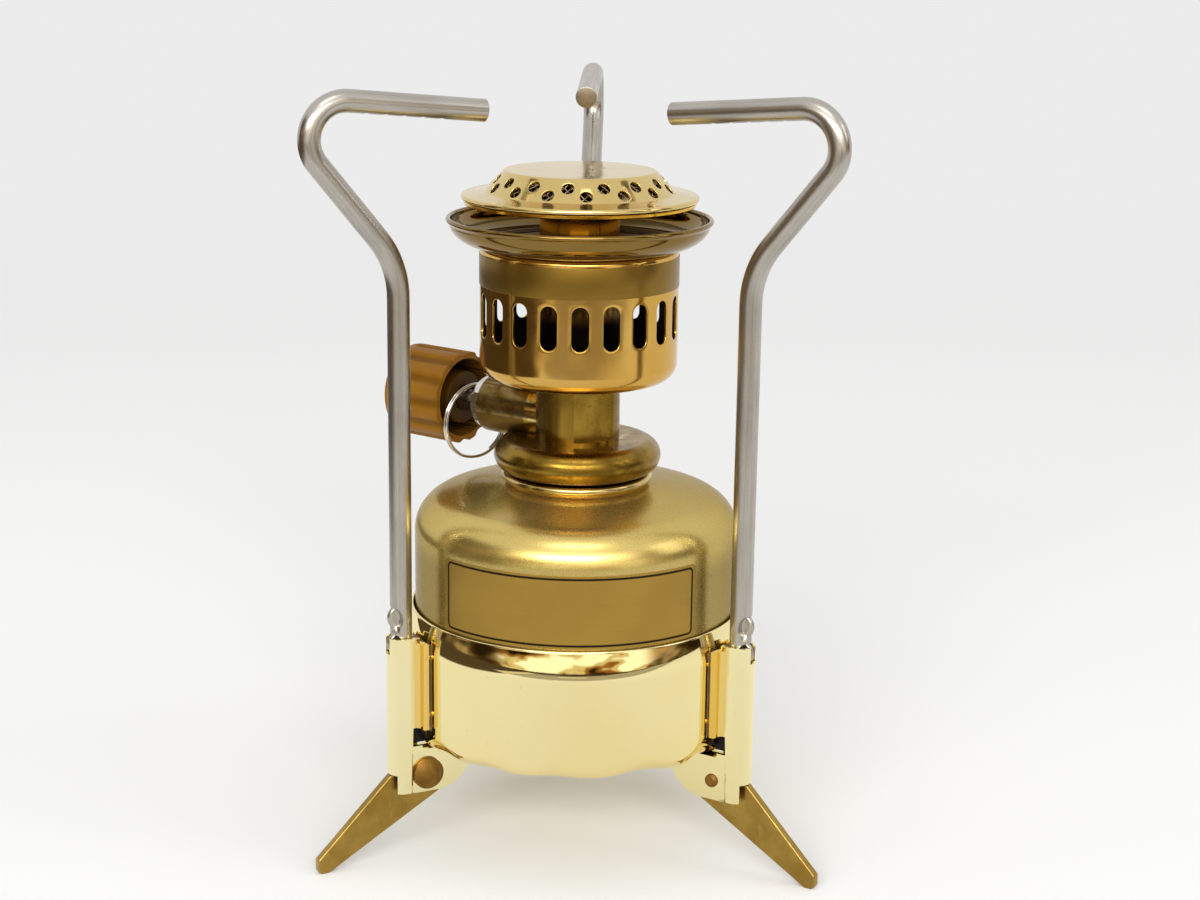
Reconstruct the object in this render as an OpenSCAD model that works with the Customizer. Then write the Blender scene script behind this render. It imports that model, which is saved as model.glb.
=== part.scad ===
// Camping gas burner: a cartridge in a three-legged stand, with a screw-on burner and lift-out pot supports.
// Millimetres, +Z up. The origin is on the ground, under the burner's axis; +Y is the rear support.

/* [Cartridge] */
// Diameter of the gas can
can_d = 90; // [84:0.5:96]
// Sheet thickness of the can
can_wall = 0.5; // [0.4:0.05:0.8]
// Height of the can's straight side above its seat
can_side_h = 56.2; // [50:0.2:60]
// Radius of the can's rounded shoulder
can_shoulder_r = 10.5; // [8:0.5:12]
// Height of the collar's top above the can's straight side
dome_h = 16.4; // [15.4:0.1:20]
// Diameter of the crimped collar on top of the can
collar_d = 41.6; // [38:0.2:46]
// Depth of the well inside the collar
collar_depth = 7; // [6:0.1:9]
// Diameter of the threaded gas outlet
outlet_d = 11.1; // [9:0.1:13]
// Height of the threaded outlet above the collar
outlet_h = 4.5; // [3.5:0.1:5.5]
// Travel of the sprung pin in the outlet
pin_travel = 1; // [0.6:0.1:1.4]
// Angle that the front label covers
label_angle = 96; // [60:1:140]
// Distance from the label's top up to the can's shoulder
label_drop = 0.7; // [0.4:0.1:6]

/* [Stand cup] */
// Height of the cup's inner floor above the ground
seat_z = 33; // [30:0.2:40]
// Height of the cup's rim above its inner floor
cup_h = 35.1; // [30:0.1:40]
// Sheet thickness of the cup
cup_wall = 0.8; // [0.6:0.05:1.2]
// Room between the can and the cup's side
cup_gap = 1.8; // [1.2:0.1:2.6]
// Room between the can and the cup's drawn-in rim
rim_gap = 0.4; // [0.3:0.05:0.8]
// Height of the drawn-in part under the rim
rim_h = 7.4; // [5:0.1:10]
// Outer radius of the cup's lower corner
cup_corner_r = 3.4; // [2.6:0.1:5]

/* [Brackets] */
// Sheet thickness of the brackets
sheet = 1; // [0.8:0.05:1.3]
// Distance from the cup's side to a support rod's axis
rod_offset = 5.5; // [5.2:0.05:6.5]
// Running gap round a rod
rod_gap = 0.1; // [0.05:0.01:0.15]
// Height of the bracket's top above the cup's inner floor
bracket_top_h = 31.8; // [28:0.1:33]
// Height of the foot tabs' lower end above the cup's inner floor
tab_low_h = 6.1; // [4.8:0.1:9]
// Width of each foot tab
tab_w = 2.8; // [2:0.1:4]
// Radius of the fold between a bracket's wall and its foot tab
fold_r = 1.4; // [0.6:0.1:1.6]
// Distance between a foot tab and the cup's side
tab_gap = 1.3; // [1:0.1:1.8]
// Diameter of the weld pips between a foot tab and the cup
pip_d = 2; // [1.6:0.1:2.4]
// Depth of the notch that a rod's lower ear drops into
notch_h = 4.6; // [3:0.1:6]
// Radius of the ears that hold a leg
ear_r = 10.2; // [9:0.1:12]
// Depth of the ears below the cup
ear_drop = 12.9; // [12:0.1:15]
// Rise of an ear's outer end beside the cup's corner
ear_rise = 1.2; // [0.8:0.1:1.6]

/* [Legs] */
// Thickness of a leg
leg_t = 2.5; // [2:0.1:3]
// Side play of a leg between its ears
leg_play = 0.1; // [0.05:0.05:0.3]
// Distance from the rod's axis in to the leg's pivot
pivot_in = 6.5; // [6.3:0.1:8]
// Depth of the pivot below the cup's underside
pivot_drop = 7.4; // [7.2:0.1:9]
// Distance of a foot from the burner's axis
foot_r = 76.2; // [68:0.2:90]
// Width of a leg at its foot
foot_w = 4; // [3.5:0.1:6]
// Radius of a leg's round end at the pivot
leg_end_r = 6; // [4:0.1:6.4]
// Diameter of the pivot rivet's shank
rivet_d = 3.4; // [2.6:0.1:4]
// Diameter of the rivet's round head
rivet_head_d = 8.8; // [7:0.1:9.2]
// Height of the rivet's round head
rivet_head_h = 3; // [2:0.1:4]

/* [Pot supports] */
// Diameter of the support rod
rod_d = 6; // [5:0.1:6.6]
// Height of the rod's lower end above the cup's inner floor
rod_low_h = 5.5; // [4:0.1:10]
// Height of the lower bend's corner above the cup's inner floor
bend_h = 133.8; // [125:0.2:145]
// Radius of the lower bend, at the rod's middle
bend_r = 25; // [15:0.5:30]
// Outward reach from the upright to the upper bend's corner
reach = 36.5; // [30:0.5:42]
// Rise from the lower to the upper bend's corner
rise = 44.7; // [40:0.1:50]
// Radius of the upper bend, at the rod's middle
top_bend_r = 9.75; // [8:0.05:11]
// Slope of the pot arm, down towards the middle
arm_slope = 5.5; // [3:0.1:8]
// Distance of an arm's tip from the burner's axis
tip_r = 28.2; // [24:0.1:34]
// Distance from an arm's tip to its first notch
grip_first = 12.4; // [8:0.1:16]
// Spacing of the notches along the arm
grip_pitch = 5.2; // [4:0.1:6]
// Depth of a notch
grip_depth = 0.35; // [0.2:0.05:0.6]
// Height of the pressed ears on a rod
crimp_h = 6.2; // [5:0.1:7]
// Width of a pressed ear, part of it in the rod
crimp_w = 3.5; // [3:0.1:4]
// Distance that the pressed ears stand out from the rod
crimp_out = 1; // [0.8:0.05:1.4]
// Thickness of the pressed ears
crimp_t = 2.1; // [1.6:0.1:3]
// Distance from the lower to the upper pressed ear
crimp_pitch = 7.6; // [7.2:0.1:9]

/* [Valve] */
// Direction of the control knob, from +X towards +Y
knob_azimuth = 146.3; // [135:0.1:165]
// Diameter of the valve's round flange
flange_d = 46.2; // [42:0.2:50]
// Height of the flange
flange_h = 9.2; // [7:0.1:10]
// Diameter of the valve's column
column_d = 23.2; // [20:0.2:26]
// Height of the column's top above the flange's underside
column_h = 26.1; // [24:0.1:28]
// Width across the column's two spanner flats
spanner_w = 20; // [18:0.1:22]
// Direction that the spanner flats face
spanner_azimuth = -62; // [-75:1:-50]
// Height of the knob's axis above the flange's underside
knob_axis_h = 14.5; // [13.4:0.1:15]
// Diameter of the side boss
boss_d = 16; // [15:0.1:18]
// Reach of the side boss from the burner's axis
boss_end = 29.8; // [28.8:0.1:33]
// Width across the gland nut's flats
gland_w = 13.8; // [12:0.1:15]
// Height of the gland nut's head
gland_h = 2.8; // [2:0.1:3.6]
// Diameter of the knob's spindle
spindle_d = 7.2; // [6.8:0.1:7.6]
// Running gap round the spindle and the outlet
fit_gap = 0.08; // [0.04:0.01:0.1]
// Length that the needle screws out
needle_travel = 1.2; // [0.8:0.1:1.6]

/* [Knob] */
// Diameter of the knob
knob_d = 26.4; // [24:0.1:30]
// Length of the knob
knob_l = 19.7; // [17:0.1:24]
// Distance from the gland nut to the knob
knob_gap = 7.5; // [6.8:0.1:9]
// Thickness of the knob's skirt
knob_skirt = 2.1; // [1.8:0.1:2.6]
// Depth of the knob's hollow
knob_hollow = 14; // [10:0.5:16]
// Diameter of the knob's hub
knob_hub_d = 15; // [12:0.1:16]
// Number of finger grooves round the knob
knob_grooves = 12; // [8:1:16]
// Depth of a finger groove
groove_depth = 0.9; // [0.5:0.1:1.2]
// Inner diameter of the hang ring
ring_d = 20.3; // [17:0.1:21]
// Thickness of the hang ring's wire
ring_wire = 0.9; // [0.7:0.05:1.2]
// Turn of the hang ring away from square to the spindle
ring_turn = -14; // [-14:1:14]

/* [Burner head] */
// Diameter of the air cup
air_d = 54.2; // [50:0.2:58]
// Height of the air cup
air_h = 36.3; // [35:0.1:42]
// Sheet thickness of the head's pressings
head_wall = 0.8; // [0.6:0.05:1]
// Outer radius of the air cup's lower corner
air_corner_r = 5; // [3:0.1:7]
// Number of air slots
slots = 20; // [12:1:22]
// Width of an air slot
slot_w = 4.6; // [3:0.1:5]
// Length of an air slot
slot_l = 11.9; // [8:0.1:13]
// Height of a slot's lower end above the air cup's underside
slot_low = 12.3; // [10:0.1:13]
// Turn of the first slot from +X
slot_turn = 3.6; // [0:0.1:18]
// Height of the satin band round the air cup
band_h = 8.4; // [6:0.1:8.8]
// Distance from the air cup's top down to the band
band_drop = 1.8; // [1.7:0.1:3]
// Diameter of the flame dish
dish_d = 72.6; // [68:0.2:78]
// Height of the flame dish
dish_h = 7.9; // [6:0.1:9]
// Diameter of the burner head's stem
stem_d = 21.8; // [20:0.2:24]
// Height of the burner head's stem
stem_h = 10.7; // [9.8:0.1:13]
// Diameter of the burner cap
cap_d = 64.4; // [60:0.2:70]
// Diameter of the burner cap where its wall rises from the brim
cap_wall_d = 51.8; // [48:0.2:56]
// Diameter of the burner cap's flat top
cap_top_d = 41; // [36:0.2:44]
// Height of the burner cap
cap_h = 8.1; // [7.4:0.1:10]
// Height of the wall's foot above the cap's underside
brim_rise = 2.4; // [2:0.1:3]
// Number of flame holes in each row
flame_holes = 15; // [10:1:18]
// Diameter of a flame hole
flame_hole_d = 3.1; // [2:0.1:3.6]

/* [Hidden] */
$fn = 96;
EPS = 0.01;
SIDES = ["rear", "left", "right"];
AZIMUTH = [90, 210, 330];

// Finishes as the eye sees them
gold = "#d8b45a";
pale_gold = "#e8d28a";
lacquer = "#a98d3c";
old_brass = "#7d6427";
bronze = "#7a5c2c";
steel = "#9c9a94";
caramel = "#9a5f14";
rubber = "#222222";
nylon = "#d8d4c4";

// Cartridge and cup
can_r = can_d / 2;
can_side_z = seat_z + can_side_h;
can_foot_r = 2.5;
can_foot_w = 4.5;
base_gap = 0.1;
base_crown = 5;
cup_in_r = can_r + cup_gap;
cup_r = cup_in_r + cup_wall;
cup_floor_z = seat_z - cup_wall;
cup_top_z = seat_z + cup_h;
rim_in_r = can_r + rim_gap;
collar_z = can_side_z + dome_h;
collar_r = collar_d / 2;
collar_sheet = 0.6;
collar_curl = 2;
collar_edge_r = 1.2;
collar_seam = 1.3;
collar_floor_z = collar_z - collar_depth;
neck_r = collar_r - 2.2;
neck_clear = 0.1;
dome_end_z = collar_z - collar_curl - 1;
dome_fillet = [1.2, 0.8];
label_gap = 0.4;
label_z = cup_top_z + label_gap;
label_top_z = can_side_z - label_drop;
skin = 0.1;
skin_gap = 0.02;

// Outlet valve inside the cartridge
outlet_r = outlet_d / 2;
outlet_z = collar_z + outlet_h;
outlet_wall = 1.8;
outlet_roof = 1.4;
pin_r = 1.4;
pin_gap = 0.05;
pin_room = 0.5;
pin_top_z = outlet_z - 1.6;
pin_head_h = 1.5;
pin_open = 0.8;
housing_r = outlet_r + 2;
housing_room = 12;
housing_h = housing_room + pin_travel;
housing_wall = 1.2;
housing_in_r = housing_r - housing_wall;
housing_top_z = collar_floor_z - collar_sheet;
gasket_h = 1.2;
gasket_gap = 0.05;
pin_head_z = housing_top_z - gasket_h - pin_open;
spring_wire_r = 0.35;
spring_gap = 0.1;
spring_turns = 5;
spring_steps = 12;
spring_sides = 6;

// Brackets
rod_r = rod_d / 2;
rod_pos = cup_r + rod_offset;
channel_in = rod_r + rod_gap;
channel_out = channel_in + sheet;
weld_gap = 0.05;
tab_r = cup_r + tab_gap;
pip_r = pip_d / 2;
pip_in = 4;
pip_turn = asin((channel_out + tab_w / 2) / tab_r);
bracket_top_z = seat_z + bracket_top_h;
tab_low_z = seat_z + tab_low_h;
tab_top_z = bracket_top_z - 1.3;
notch_gap = 0.2;
notch_w = crimp_t + 2 * notch_gap;
notch_z = bracket_top_z - notch_h;
ear_in = leg_t / 2 + leg_play;
ear_out = ear_in + sheet;
ear_clear = 0.4;
ear_top_z = cup_floor_z - ear_clear;
ear_low_z = cup_floor_z - ear_drop;

// Legs and rivets
pivot_r = rod_pos - pivot_in;
pivot_z = cup_floor_z - pivot_drop;
rivet_r = rivet_d / 2;
rivet_gap = 0.05;
rivet_head_r = rivet_head_d / 2;
rivet_head_gap = 0.4;
rivet_rim_h = 1;
rivet_peen_h = 0.8;
rivet_peen_out = 0.2;
rivet_clear = 0.15;
ear_mid = [pivot_r - 3.1, ear_low_z + ear_r];
jog_r = pivot_r + rivet_head_r + rivet_head_gap;
web_low_z = pivot_z + 0.7;
wall_low_z = pivot_z - 4.6;
leg_stop_gap = 0.3;
leg_top_z = web_low_z - leg_stop_gap;
leg_corner = [rod_pos + channel_out - 0.2, leg_top_z];
leg_ledge = [rod_pos + channel_in - leg_stop_gap, leg_top_z];
leg_inner = [pivot_r - 4, pivot_z - 6.3];
leg_shoulder = [pivot_r + 1.5, pivot_z + leg_end_r - 0.4];
foot_flat = 1.8;
foot_nose_r = 1.4;
foot_chamfer = [0.6, 0.4];

// Pot supports
rod_low_z = seat_z + rod_low_h;
room_low_z = min(tab_low_z, rod_low_z - rod_gap);
crimp_gap = 0.1;
crimp_press = 0.2;
crimp_edge = 0.3;
crimp_mid = rod_r + crimp_out - crimp_w / 2;
crimp_lens_r = (pow(crimp_h / 2, 2) + pow(crimp_w / 2, 2)) / crimp_w;
// The lower ear rests on the notch where it meets the bracket's inner face
crimp_seat = sqrt(pow(crimp_lens_r, 2) - pow(crimp_lens_r - crimp_w / 2 + channel_in - crimp_mid, 2));
crimp_low_z = notch_z + crimp_seat + crimp_gap;
bend_corner = [rod_pos, seat_z + bend_h];
apex = bend_corner + [reach, rise];
lean = atan2(rise, reach);
arm_dir = 180 + arm_slope;
bend_turn = 90 - lean;
apex_turn = arm_dir - lean;
bend_len = bend_r * tan(bend_turn / 2);
apex_len = top_bend_r * tan(apex_turn / 2);
bend_end = bend_corner + bend_len * [cos(lean), sin(lean)];
apex_start = apex - apex_len * [cos(lean), sin(lean)];
arm_start = apex + apex_len * [cos(arm_dir), sin(arm_dir)];
arm_tip = apex + (apex[0] - tip_r) / cos(arm_slope) * [cos(arm_dir), sin(arm_dir)];
bend_thin = 0.02;
bend_lap = 0.3;
grips = 5;
grip_r = 1;

// Valve
flange_gap = 0.3;
flange_z = collar_z + flange_gap;
flange_r = flange_d / 2;
column_r = column_d / 2;
column_z = flange_z + column_h;
spanner_foot = 0.8;
axis_z = flange_z + knob_axis_h;
boss_r = boss_d / 2;
thread_gap = 0.05;
socket_r = outlet_r + fit_gap;
seal_h = 1.5;
seal_clear = 0.1;
seal_hole_r = pin_r + 1.2;
socket_z = outlet_z + seal_clear + seal_h;
probe_r = 0.7;
probe_gap = 0.02;
probe_depth = 2.5;
passage_r = 0.9;
passage_x = 1.7;
passage_run = 3;
passage_lap = 0.3;
stud_r = 6;
stud_h = 5.4;

// Spindle, gland and knob
spindle_r = spindle_d / 2;
spindle_bore_r = spindle_r + fit_gap;
screw_r = spindle_r - 0.4;
screw_bore_r = screw_r + fit_gap;
needle_r = 1.5;
needle_tip = [passage_r - 0.25, 0.4];
needle_cone_h = 4.6;
seat_x = 3.2;
chamber_end = 11;
chamber_gap = 0.9;
o_ring_r = 0.85;
o_ring_gap = 0.05;
o_ring_side = 0.1;
groove_r = screw_r - 0.3;
o_ring_mid = groove_r + o_ring_gap + o_ring_r;
o_ring_x = boss_end - 7.3;
o_ring_chamber_r = o_ring_mid + o_ring_r + o_ring_gap;
gland_room = 0.35;
gland_bore_x = o_ring_x + o_ring_r + needle_travel + gland_room;
gland_thread_r = o_ring_chamber_r + 0.5;
gland_chamfer = 2;
gland_end = boss_end + gland_h;
knob_x = gland_end + knob_gap;
knob_r = knob_d / 2;
knob_end = knob_x + knob_l;
knob_edge_r = 1.2;
knob_end_wall = 3;
knob_fit = 0.02;
hub_r = knob_hub_d / 2;
hub_back = 0.4;
groove_cut_r = 3;
groove_end = 2;
spindle_end = knob_end - knob_end_wall - 0.1;
ring_mid_r = ring_d / 2 + ring_wire / 2;
ring_x = (gland_end + knob_x) / 2;
ring_rest_gap = 0.3;
ring_drop = ring_d / 2 - spindle_r - ring_rest_gap;

// Burner head
air_r = air_d / 2;
air_z = column_z;
air_top_z = air_z + air_h;
lip_r = 1.5;
lip_in = 4;
band_z = air_top_z - band_drop - band_h;
nut_w = 16;
nut_h = 3.6;
stud_gap = 0.2;
jet_z = column_z + stud_h;
jet_thread_r = 2.5;
jet_thread_h = 4;
jet_head_r = 4;
jet_head_h = 2.6;
jet_nose_h = 3;
jet_nose_low_r = 2.6;
jet_nose_top_r = 1.4;
jet_bore_r = 1.2;
jet_orifice_r = 0.2;
filter_h = 1.2;
filter_gap = 0.1;
dish_r = dish_d / 2;
dish_z = air_top_z;
dish_bead_r = 0.7;
tube_r = 8;
tube_wall = 1;
tube_gap = 0.05;
tube_low_z = jet_z + jet_head_h - 0.8;
tube_mouth_r = tube_r + 4;
tube_mouth_h = 18;
tube_neck_h = 5;
tube_collar_r = 13;
tube_collar_h = 1.2;
stem_r = stem_d / 2;
stem_z = dish_z + head_wall;
stem_flare = 1.5;
base_z = stem_z + stem_h;
base_t = 1;
tube_top_z = base_z - 1;
cap_z = base_z + base_t;
cap_r = cap_d / 2;
cap_top_r = cap_top_d / 2;
cap_wall_r = cap_wall_d / 2;
brim_r = 0.8;
cap_top_z = cap_z + cap_h;
cap_foot_z = cap_z + brim_rise;
cap_angle = atan2(cap_top_z - cap_foot_z, cap_wall_r - cap_top_r);
cap_edge_r = 1.5;
hole_rows = [0.28, 0.6];
hole_turn = 0.6;
gauze_t = 0.3;
gauze_gap = 0.15;

// Points of an arc, with the middle c and radius r, from angle a to angle b
function arc(c, r, a, b, n = 12) =
  [for (i = [0 : n]) c + r * [cos(a + (b - a) * i / n), sin(a + (b - a) * i / n)]];

// Points of the arc of radius r that rounds the corner b between a and c
function rounded(a, b, c, r, n = 6) =
  let (
    u = (a - b) / norm(a - b),
    v = (c - b) / norm(c - b),
    half = acos(u * v) / 2,
    mid = b + (u + v) / norm(u + v) * r / sin(half),
    p = b + u * r / tan(half) - mid,
    q = b + v * r / tan(half) - mid,
    from = atan2(p[1], p[0]),
    turn = atan2(p[0] * q[1] - p[1] * q[0], p * q)
  ) arc(mid, r, from, from + turn, n);

// A list of points, last one first
function back(points) = [for (i = [len(points) - 1 : -1 : 0]) points[i]];

// Stands a flat outline of radius and height in the radial plane, w thick
module radial_plate(w) {
  rotate([90, 0, 0])
    translate([0, 0, -w / 2])
      linear_extrude(w)
        children();
}

// Turns what lies along +X at the knob's height to the knob's direction
module on_knob_axis() {
  rotate([0, 0, knob_azimuth])
    translate([0, 0, axis_z])
      rotate([0, 90, 0])
        children();
}

// Straight rod between two points of the radial plane, run on into the bends at its ends
module rod_between(a, b, start = bend_lap, end = bend_lap) {
  d = b - a;
  translate([a[0], 0, a[1]])
    rotate([0, atan2(d[0], d[1]), 0])
      translate([0, 0, -start])
        cylinder(h = norm(d) + start + end, r = rod_r);
}

// Round bend of the rod in the radial plane, from angle a to angle b
module rod_bend(c, r, a, b) {
  translate([c[0], 0, c[1]])
    rotate([90, 0, 0])
      rotate([0, 0, a])
        rotate_extrude(angle = b - a)
          translate([r, 0])
            circle(rod_r - bend_thin);
}

module stand_cup() {
  low_c = [cup_r - cup_corner_r, cup_floor_z + cup_corner_r];
  side_top_z = cup_top_z - rim_h;
  rim_mid_z = cup_top_z - cup_wall / 2;
  draw = cup_gap - rim_gap;
  // The side bends in along a parabola, from its full radius to the rim
  rim_curve = [for (t = [0 : 0.125 : 1]) [-draw * t * t, side_top_z + (rim_mid_z - side_top_z) * t]];
  color(pale_gold)
    rotate_extrude()
      polygon(concat(
        [[0, cup_floor_z]],
        arc(low_c, cup_corner_r, -90, 0),
        [for (p = rim_curve) p + [cup_r, 0]],
        arc([rim_in_r + cup_wall / 2, rim_mid_z], cup_wall / 2, 20, 160, 6),
        back([for (p = rim_curve) p + [cup_in_r, 0]]),
        back(arc(low_c, cup_corner_r - cup_wall, -90, 0)),
        [[0, seat_z]]
      ));
}

// Plan outline of the channel: round outside the rod's axis, straight in from there to low
module channel_outline(r, low) {
  intersection() {
    translate([rod_pos, 0])
      circle(r);
    translate([rod_pos - EPS, -2 * r])
      square([2 * r, 4 * r]);
  }
  translate([low, -r])
    square([rod_pos - low, 2 * r]);
}

module bracket(azimuth) {
  channel_low_r = tab_r + sheet / 2;
  color(pale_gold)
    rotate([0, 0, azimuth])
      difference() {
        union() {
          // Upper channel between the cup and the rod
          translate([0, 0, tab_low_z])
            linear_extrude(bracket_top_z - tab_low_z)
              channel_outline(channel_out, channel_low_r);
          // Lower walls on each side of the leg
          translate([0, 0, wall_low_z])
            linear_extrude(tab_low_z - wall_low_z)
              channel_outline(channel_out, jog_r);
          // Foot tabs that lie on the cup's side
          translate([0, 0, tab_low_z]) {
            foot_tabs();
            tab_folds();
          }
          weld_pips();
          // Ears under the cup, joined to the walls by a jog
          radial_plate(2 * ear_out)
            ear_outline();
          translate([jog_r, -channel_out, wall_low_z])
            cube([sheet, 2 * channel_out, ear_top_z + ear_rise - wall_low_z]);
        }
        // Room for the rod
        translate([0, 0, room_low_z - EPS])
          linear_extrude(bracket_top_z - room_low_z + 2 * EPS)
            channel_outline(channel_in, cup_in_r);
        translate([0, 0, wall_low_z - EPS])
          linear_extrude(tab_low_z - wall_low_z + 2 * EPS)
            channel_outline(channel_in, jog_r + sheet);
        // Slot for the leg, open at the jog and at the foot of the web
        translate([0, -ear_in, ear_low_z - EPS])
          cube([rod_pos, 2 * ear_in, ear_top_z + ear_rise - ear_low_z + 2 * EPS]);
        translate([rod_pos, -channel_in, wall_low_z - EPS])
          cube([2 * channel_out, 2 * channel_in, web_low_z - wall_low_z + EPS]);
        // Notch for the rod's lower ear
        translate([rod_pos, -notch_w / 2, notch_z])
          cube([2 * channel_out, notch_w, notch_h + EPS]);
        // Rivet hole
        translate([pivot_r, 0, pivot_z])
          rotate([90, 0, 0])
            cylinder(h = 4 * channel_out, r = rivet_r + rivet_gap, center = true);
      }
}

// Side view of an ear: a round lobe under the cup that runs out to the jog
module ear_outline() {
  intersection() {
    union() {
      translate(ear_mid)
        circle(ear_r);
      translate([ear_mid[0], ear_low_z])
        square([jog_r + sheet - ear_mid[0], ear_top_z - ear_low_z]);
    }
    translate([0, ear_low_z - EPS])
      square([rod_pos, ear_top_z - ear_low_z + EPS]);
  }
  // Outer end beside the cup's corner
  translate([cup_r + ear_clear, ear_top_z - EPS])
    square([jog_r + sheet - cup_r - ear_clear, ear_rise + EPS]);
}

// The two tabs, cut from a sleeve that fits the cup
module foot_tabs() {
  reach_t = channel_out + tab_w;
  intersection() {
    difference() {
      cylinder(h = tab_top_z - tab_low_z, r = tab_r + sheet);
      translate([0, 0, -EPS])
        cylinder(h = tab_top_z - tab_low_z + 2 * EPS, r = tab_r);
    }
    translate([0, -reach_t, 0])
      cube([2 * cup_r, 2 * reach_t, tab_top_z]);
  }
}

// Weld pips between the tabs and the cup's side
module weld_pips() {
  for (i = [0, 1])
    mirror([0, i, 0])
      for (z = [tab_low_z + pip_in, tab_top_z - pip_in])
        rotate([0, 0, pip_turn])
          translate([cup_r + weld_gap, 0, z])
            rotate([0, 90, 0])
              cylinder(h = tab_gap - weld_gap + sheet / 2, r = pip_r);
}

// Round corners where the walls fold out into the tabs
module tab_folds() {
  reach_t = channel_out + fold_r;
  face_r = sqrt(pow(tab_r + sheet, 2) - pow(reach_t, 2));
  for (i = [0, 1])
    mirror([0, i, 0])
      linear_extrude(tab_top_z - tab_low_z)
        difference() {
          translate([face_r - sheet / 2, channel_in])
            square([sheet / 2 + fold_r, reach_t - channel_in]);
          translate([face_r + fold_r, reach_t])
            circle(fold_r);
        }
}

module leg(azimuth) {
  foot_in = [foot_r - foot_flat / 2, 0];
  nose = [foot_r + foot_flat / 2, foot_nose_r];
  color(bronze)
    rotate([0, 0, azimuth])
      difference() {
        radial_plate(leg_t)
          union() {
            polygon(concat(
              [leg_inner, [foot_in[0] - foot_chamfer[0], foot_chamfer[1]], foot_in],
              arc(nose, foot_nose_r, -90, 0, 4),
              [[nose[0] + foot_nose_r, foot_w], leg_corner, leg_ledge, leg_shoulder]
            ));
            translate([pivot_r, pivot_z])
              circle(leg_end_r);
          }
        translate([pivot_r, 0, pivot_z])
          rotate([90, 0, 0])
            cylinder(h = 2 * leg_t, r = rivet_r + rivet_gap, center = true);
      }
}

// Rivet through both ears, with a domed head on one side and a peened end on the other
module leg_rivet(azimuth) {
  shank_end = ear_out + rivet_clear;
  peen_r = rivet_r + rivet_peen_out;
  crown_h = rivet_head_h - rivet_rim_h;
  crown_r = (pow(rivet_head_r, 2) + pow(crown_h, 2)) / (2 * crown_h);
  crown_mid = [0, shank_end + rivet_head_h - crown_r];
  color(bronze)
    rotate([0, 0, azimuth])
      translate([pivot_r, 0, pivot_z])
        rotate([-90, 0, 0])
          rotate_extrude()
            polygon(concat(
              [[0, -shank_end - rivet_peen_h]],
              arc([peen_r - rivet_peen_h, -shank_end], rivet_peen_h, -90, 0, 5),
              [[rivet_r, -shank_end], [rivet_r, shank_end]],
              [[rivet_head_r, shank_end], [rivet_head_r, shank_end + rivet_rim_h]],
              arc(crown_mid, crown_r, asin((crown_r - crown_h) / crown_r), 90, 10)
            ));
}

// A lens-shaped plate in the radial plane, on the rod's outer side, drawn in by an edge
module rod_crimp(w, edge = 0) {
  radial_plate(w)
    translate([crimp_mid, 0])
      intersection() {
        translate([crimp_w / 2 - crimp_lens_r, 0])
          circle(crimp_lens_r - edge);
        translate([crimp_lens_r - crimp_w / 2, 0])
          circle(crimp_lens_r - edge);
      }
}

module pot_support(azimuth) {
  color(steel)
    rotate([0, 0, azimuth])
      difference() {
        union() {
          rod_between([rod_pos, rod_low_z], bend_corner - [0, bend_len], start = 0);
          rod_bend(bend_corner + [bend_r, -bend_len], bend_r, 180 - bend_turn, 180);
          rod_between(bend_end, apex_start);
          rod_bend(apex_start + top_bend_r * [-sin(lean), cos(lean)], top_bend_r, lean - 90, arm_dir - 90);
          rod_between(arm_start, arm_tip, end = 0);
          for (i = [0, 1])
            translate([rod_pos, 0, crimp_low_z + i * crimp_pitch])
              rod_crimp(crimp_t);
        }
        // Pressed flats on both sides of the ears
        for (i = [0, 1], s = [-1, 1])
          translate([rod_pos, s * (crimp_t / 2 - crimp_press + rod_r), crimp_low_z + i * crimp_pitch])
            rod_crimp(2 * rod_r, crimp_edge);
        // Notches that keep a pot from sliding
        for (i = [0 : grips - 1]) {
          p = arm_tip - (grip_first + i * grip_pitch) * [cos(arm_dir), sin(arm_dir)];
          translate([p[0], 0, p[1] + (rod_r + grip_r - grip_depth) / cos(arm_slope)])
            rotate([90, 0, 0])
              cylinder(h = 4 * rod_r, r = grip_r, center = true);
        }
      }
}

module cartridge_shell() {
  foot_c = [can_r - can_foot_r, seat_z + can_foot_r];
  shoulder_c = [can_r - can_shoulder_r, can_side_z];
  neck_top_z = collar_z - collar_seam - neck_clear;
  color(lacquer)
    rotate_extrude()
      polygon(concat(
        [[can_r - can_foot_w, seat_z]],
        arc(foot_c, can_foot_r, -90, 0, 6),
        arc(shoulder_c, can_shoulder_r, 0, 80),
        [[neck_r + dome_fillet[0], dome_end_z], [neck_r, dome_end_z + dome_fillet[1]], [neck_r, neck_top_z]],
        [[neck_r - can_wall, neck_top_z], [neck_r - can_wall, dome_end_z - can_wall]],
        back(arc(shoulder_c, can_shoulder_r - can_wall, 0, 80)),
        back(arc(foot_c, can_foot_r - can_wall, -90, 0, 6)),
        [[can_r - can_foot_w, seat_z + can_wall]]
      ));
}

// Domed floor pressed up into the can
module cartridge_base() {
  base_r = can_r - can_foot_w - base_gap;
  sphere_r = (pow(base_r, 2) + pow(base_crown, 2)) / (2 * base_crown);
  edge = asin(base_r / sphere_r);
  mid = [0, seat_z + base_crown - sphere_r];
  color(lacquer)
    rotate_extrude()
      polygon(concat(
        arc(mid, sphere_r, 90 - edge, 90, 16),
        arc(mid, sphere_r + can_wall, 90, 90 - edge, 16)
      ));
}

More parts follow.
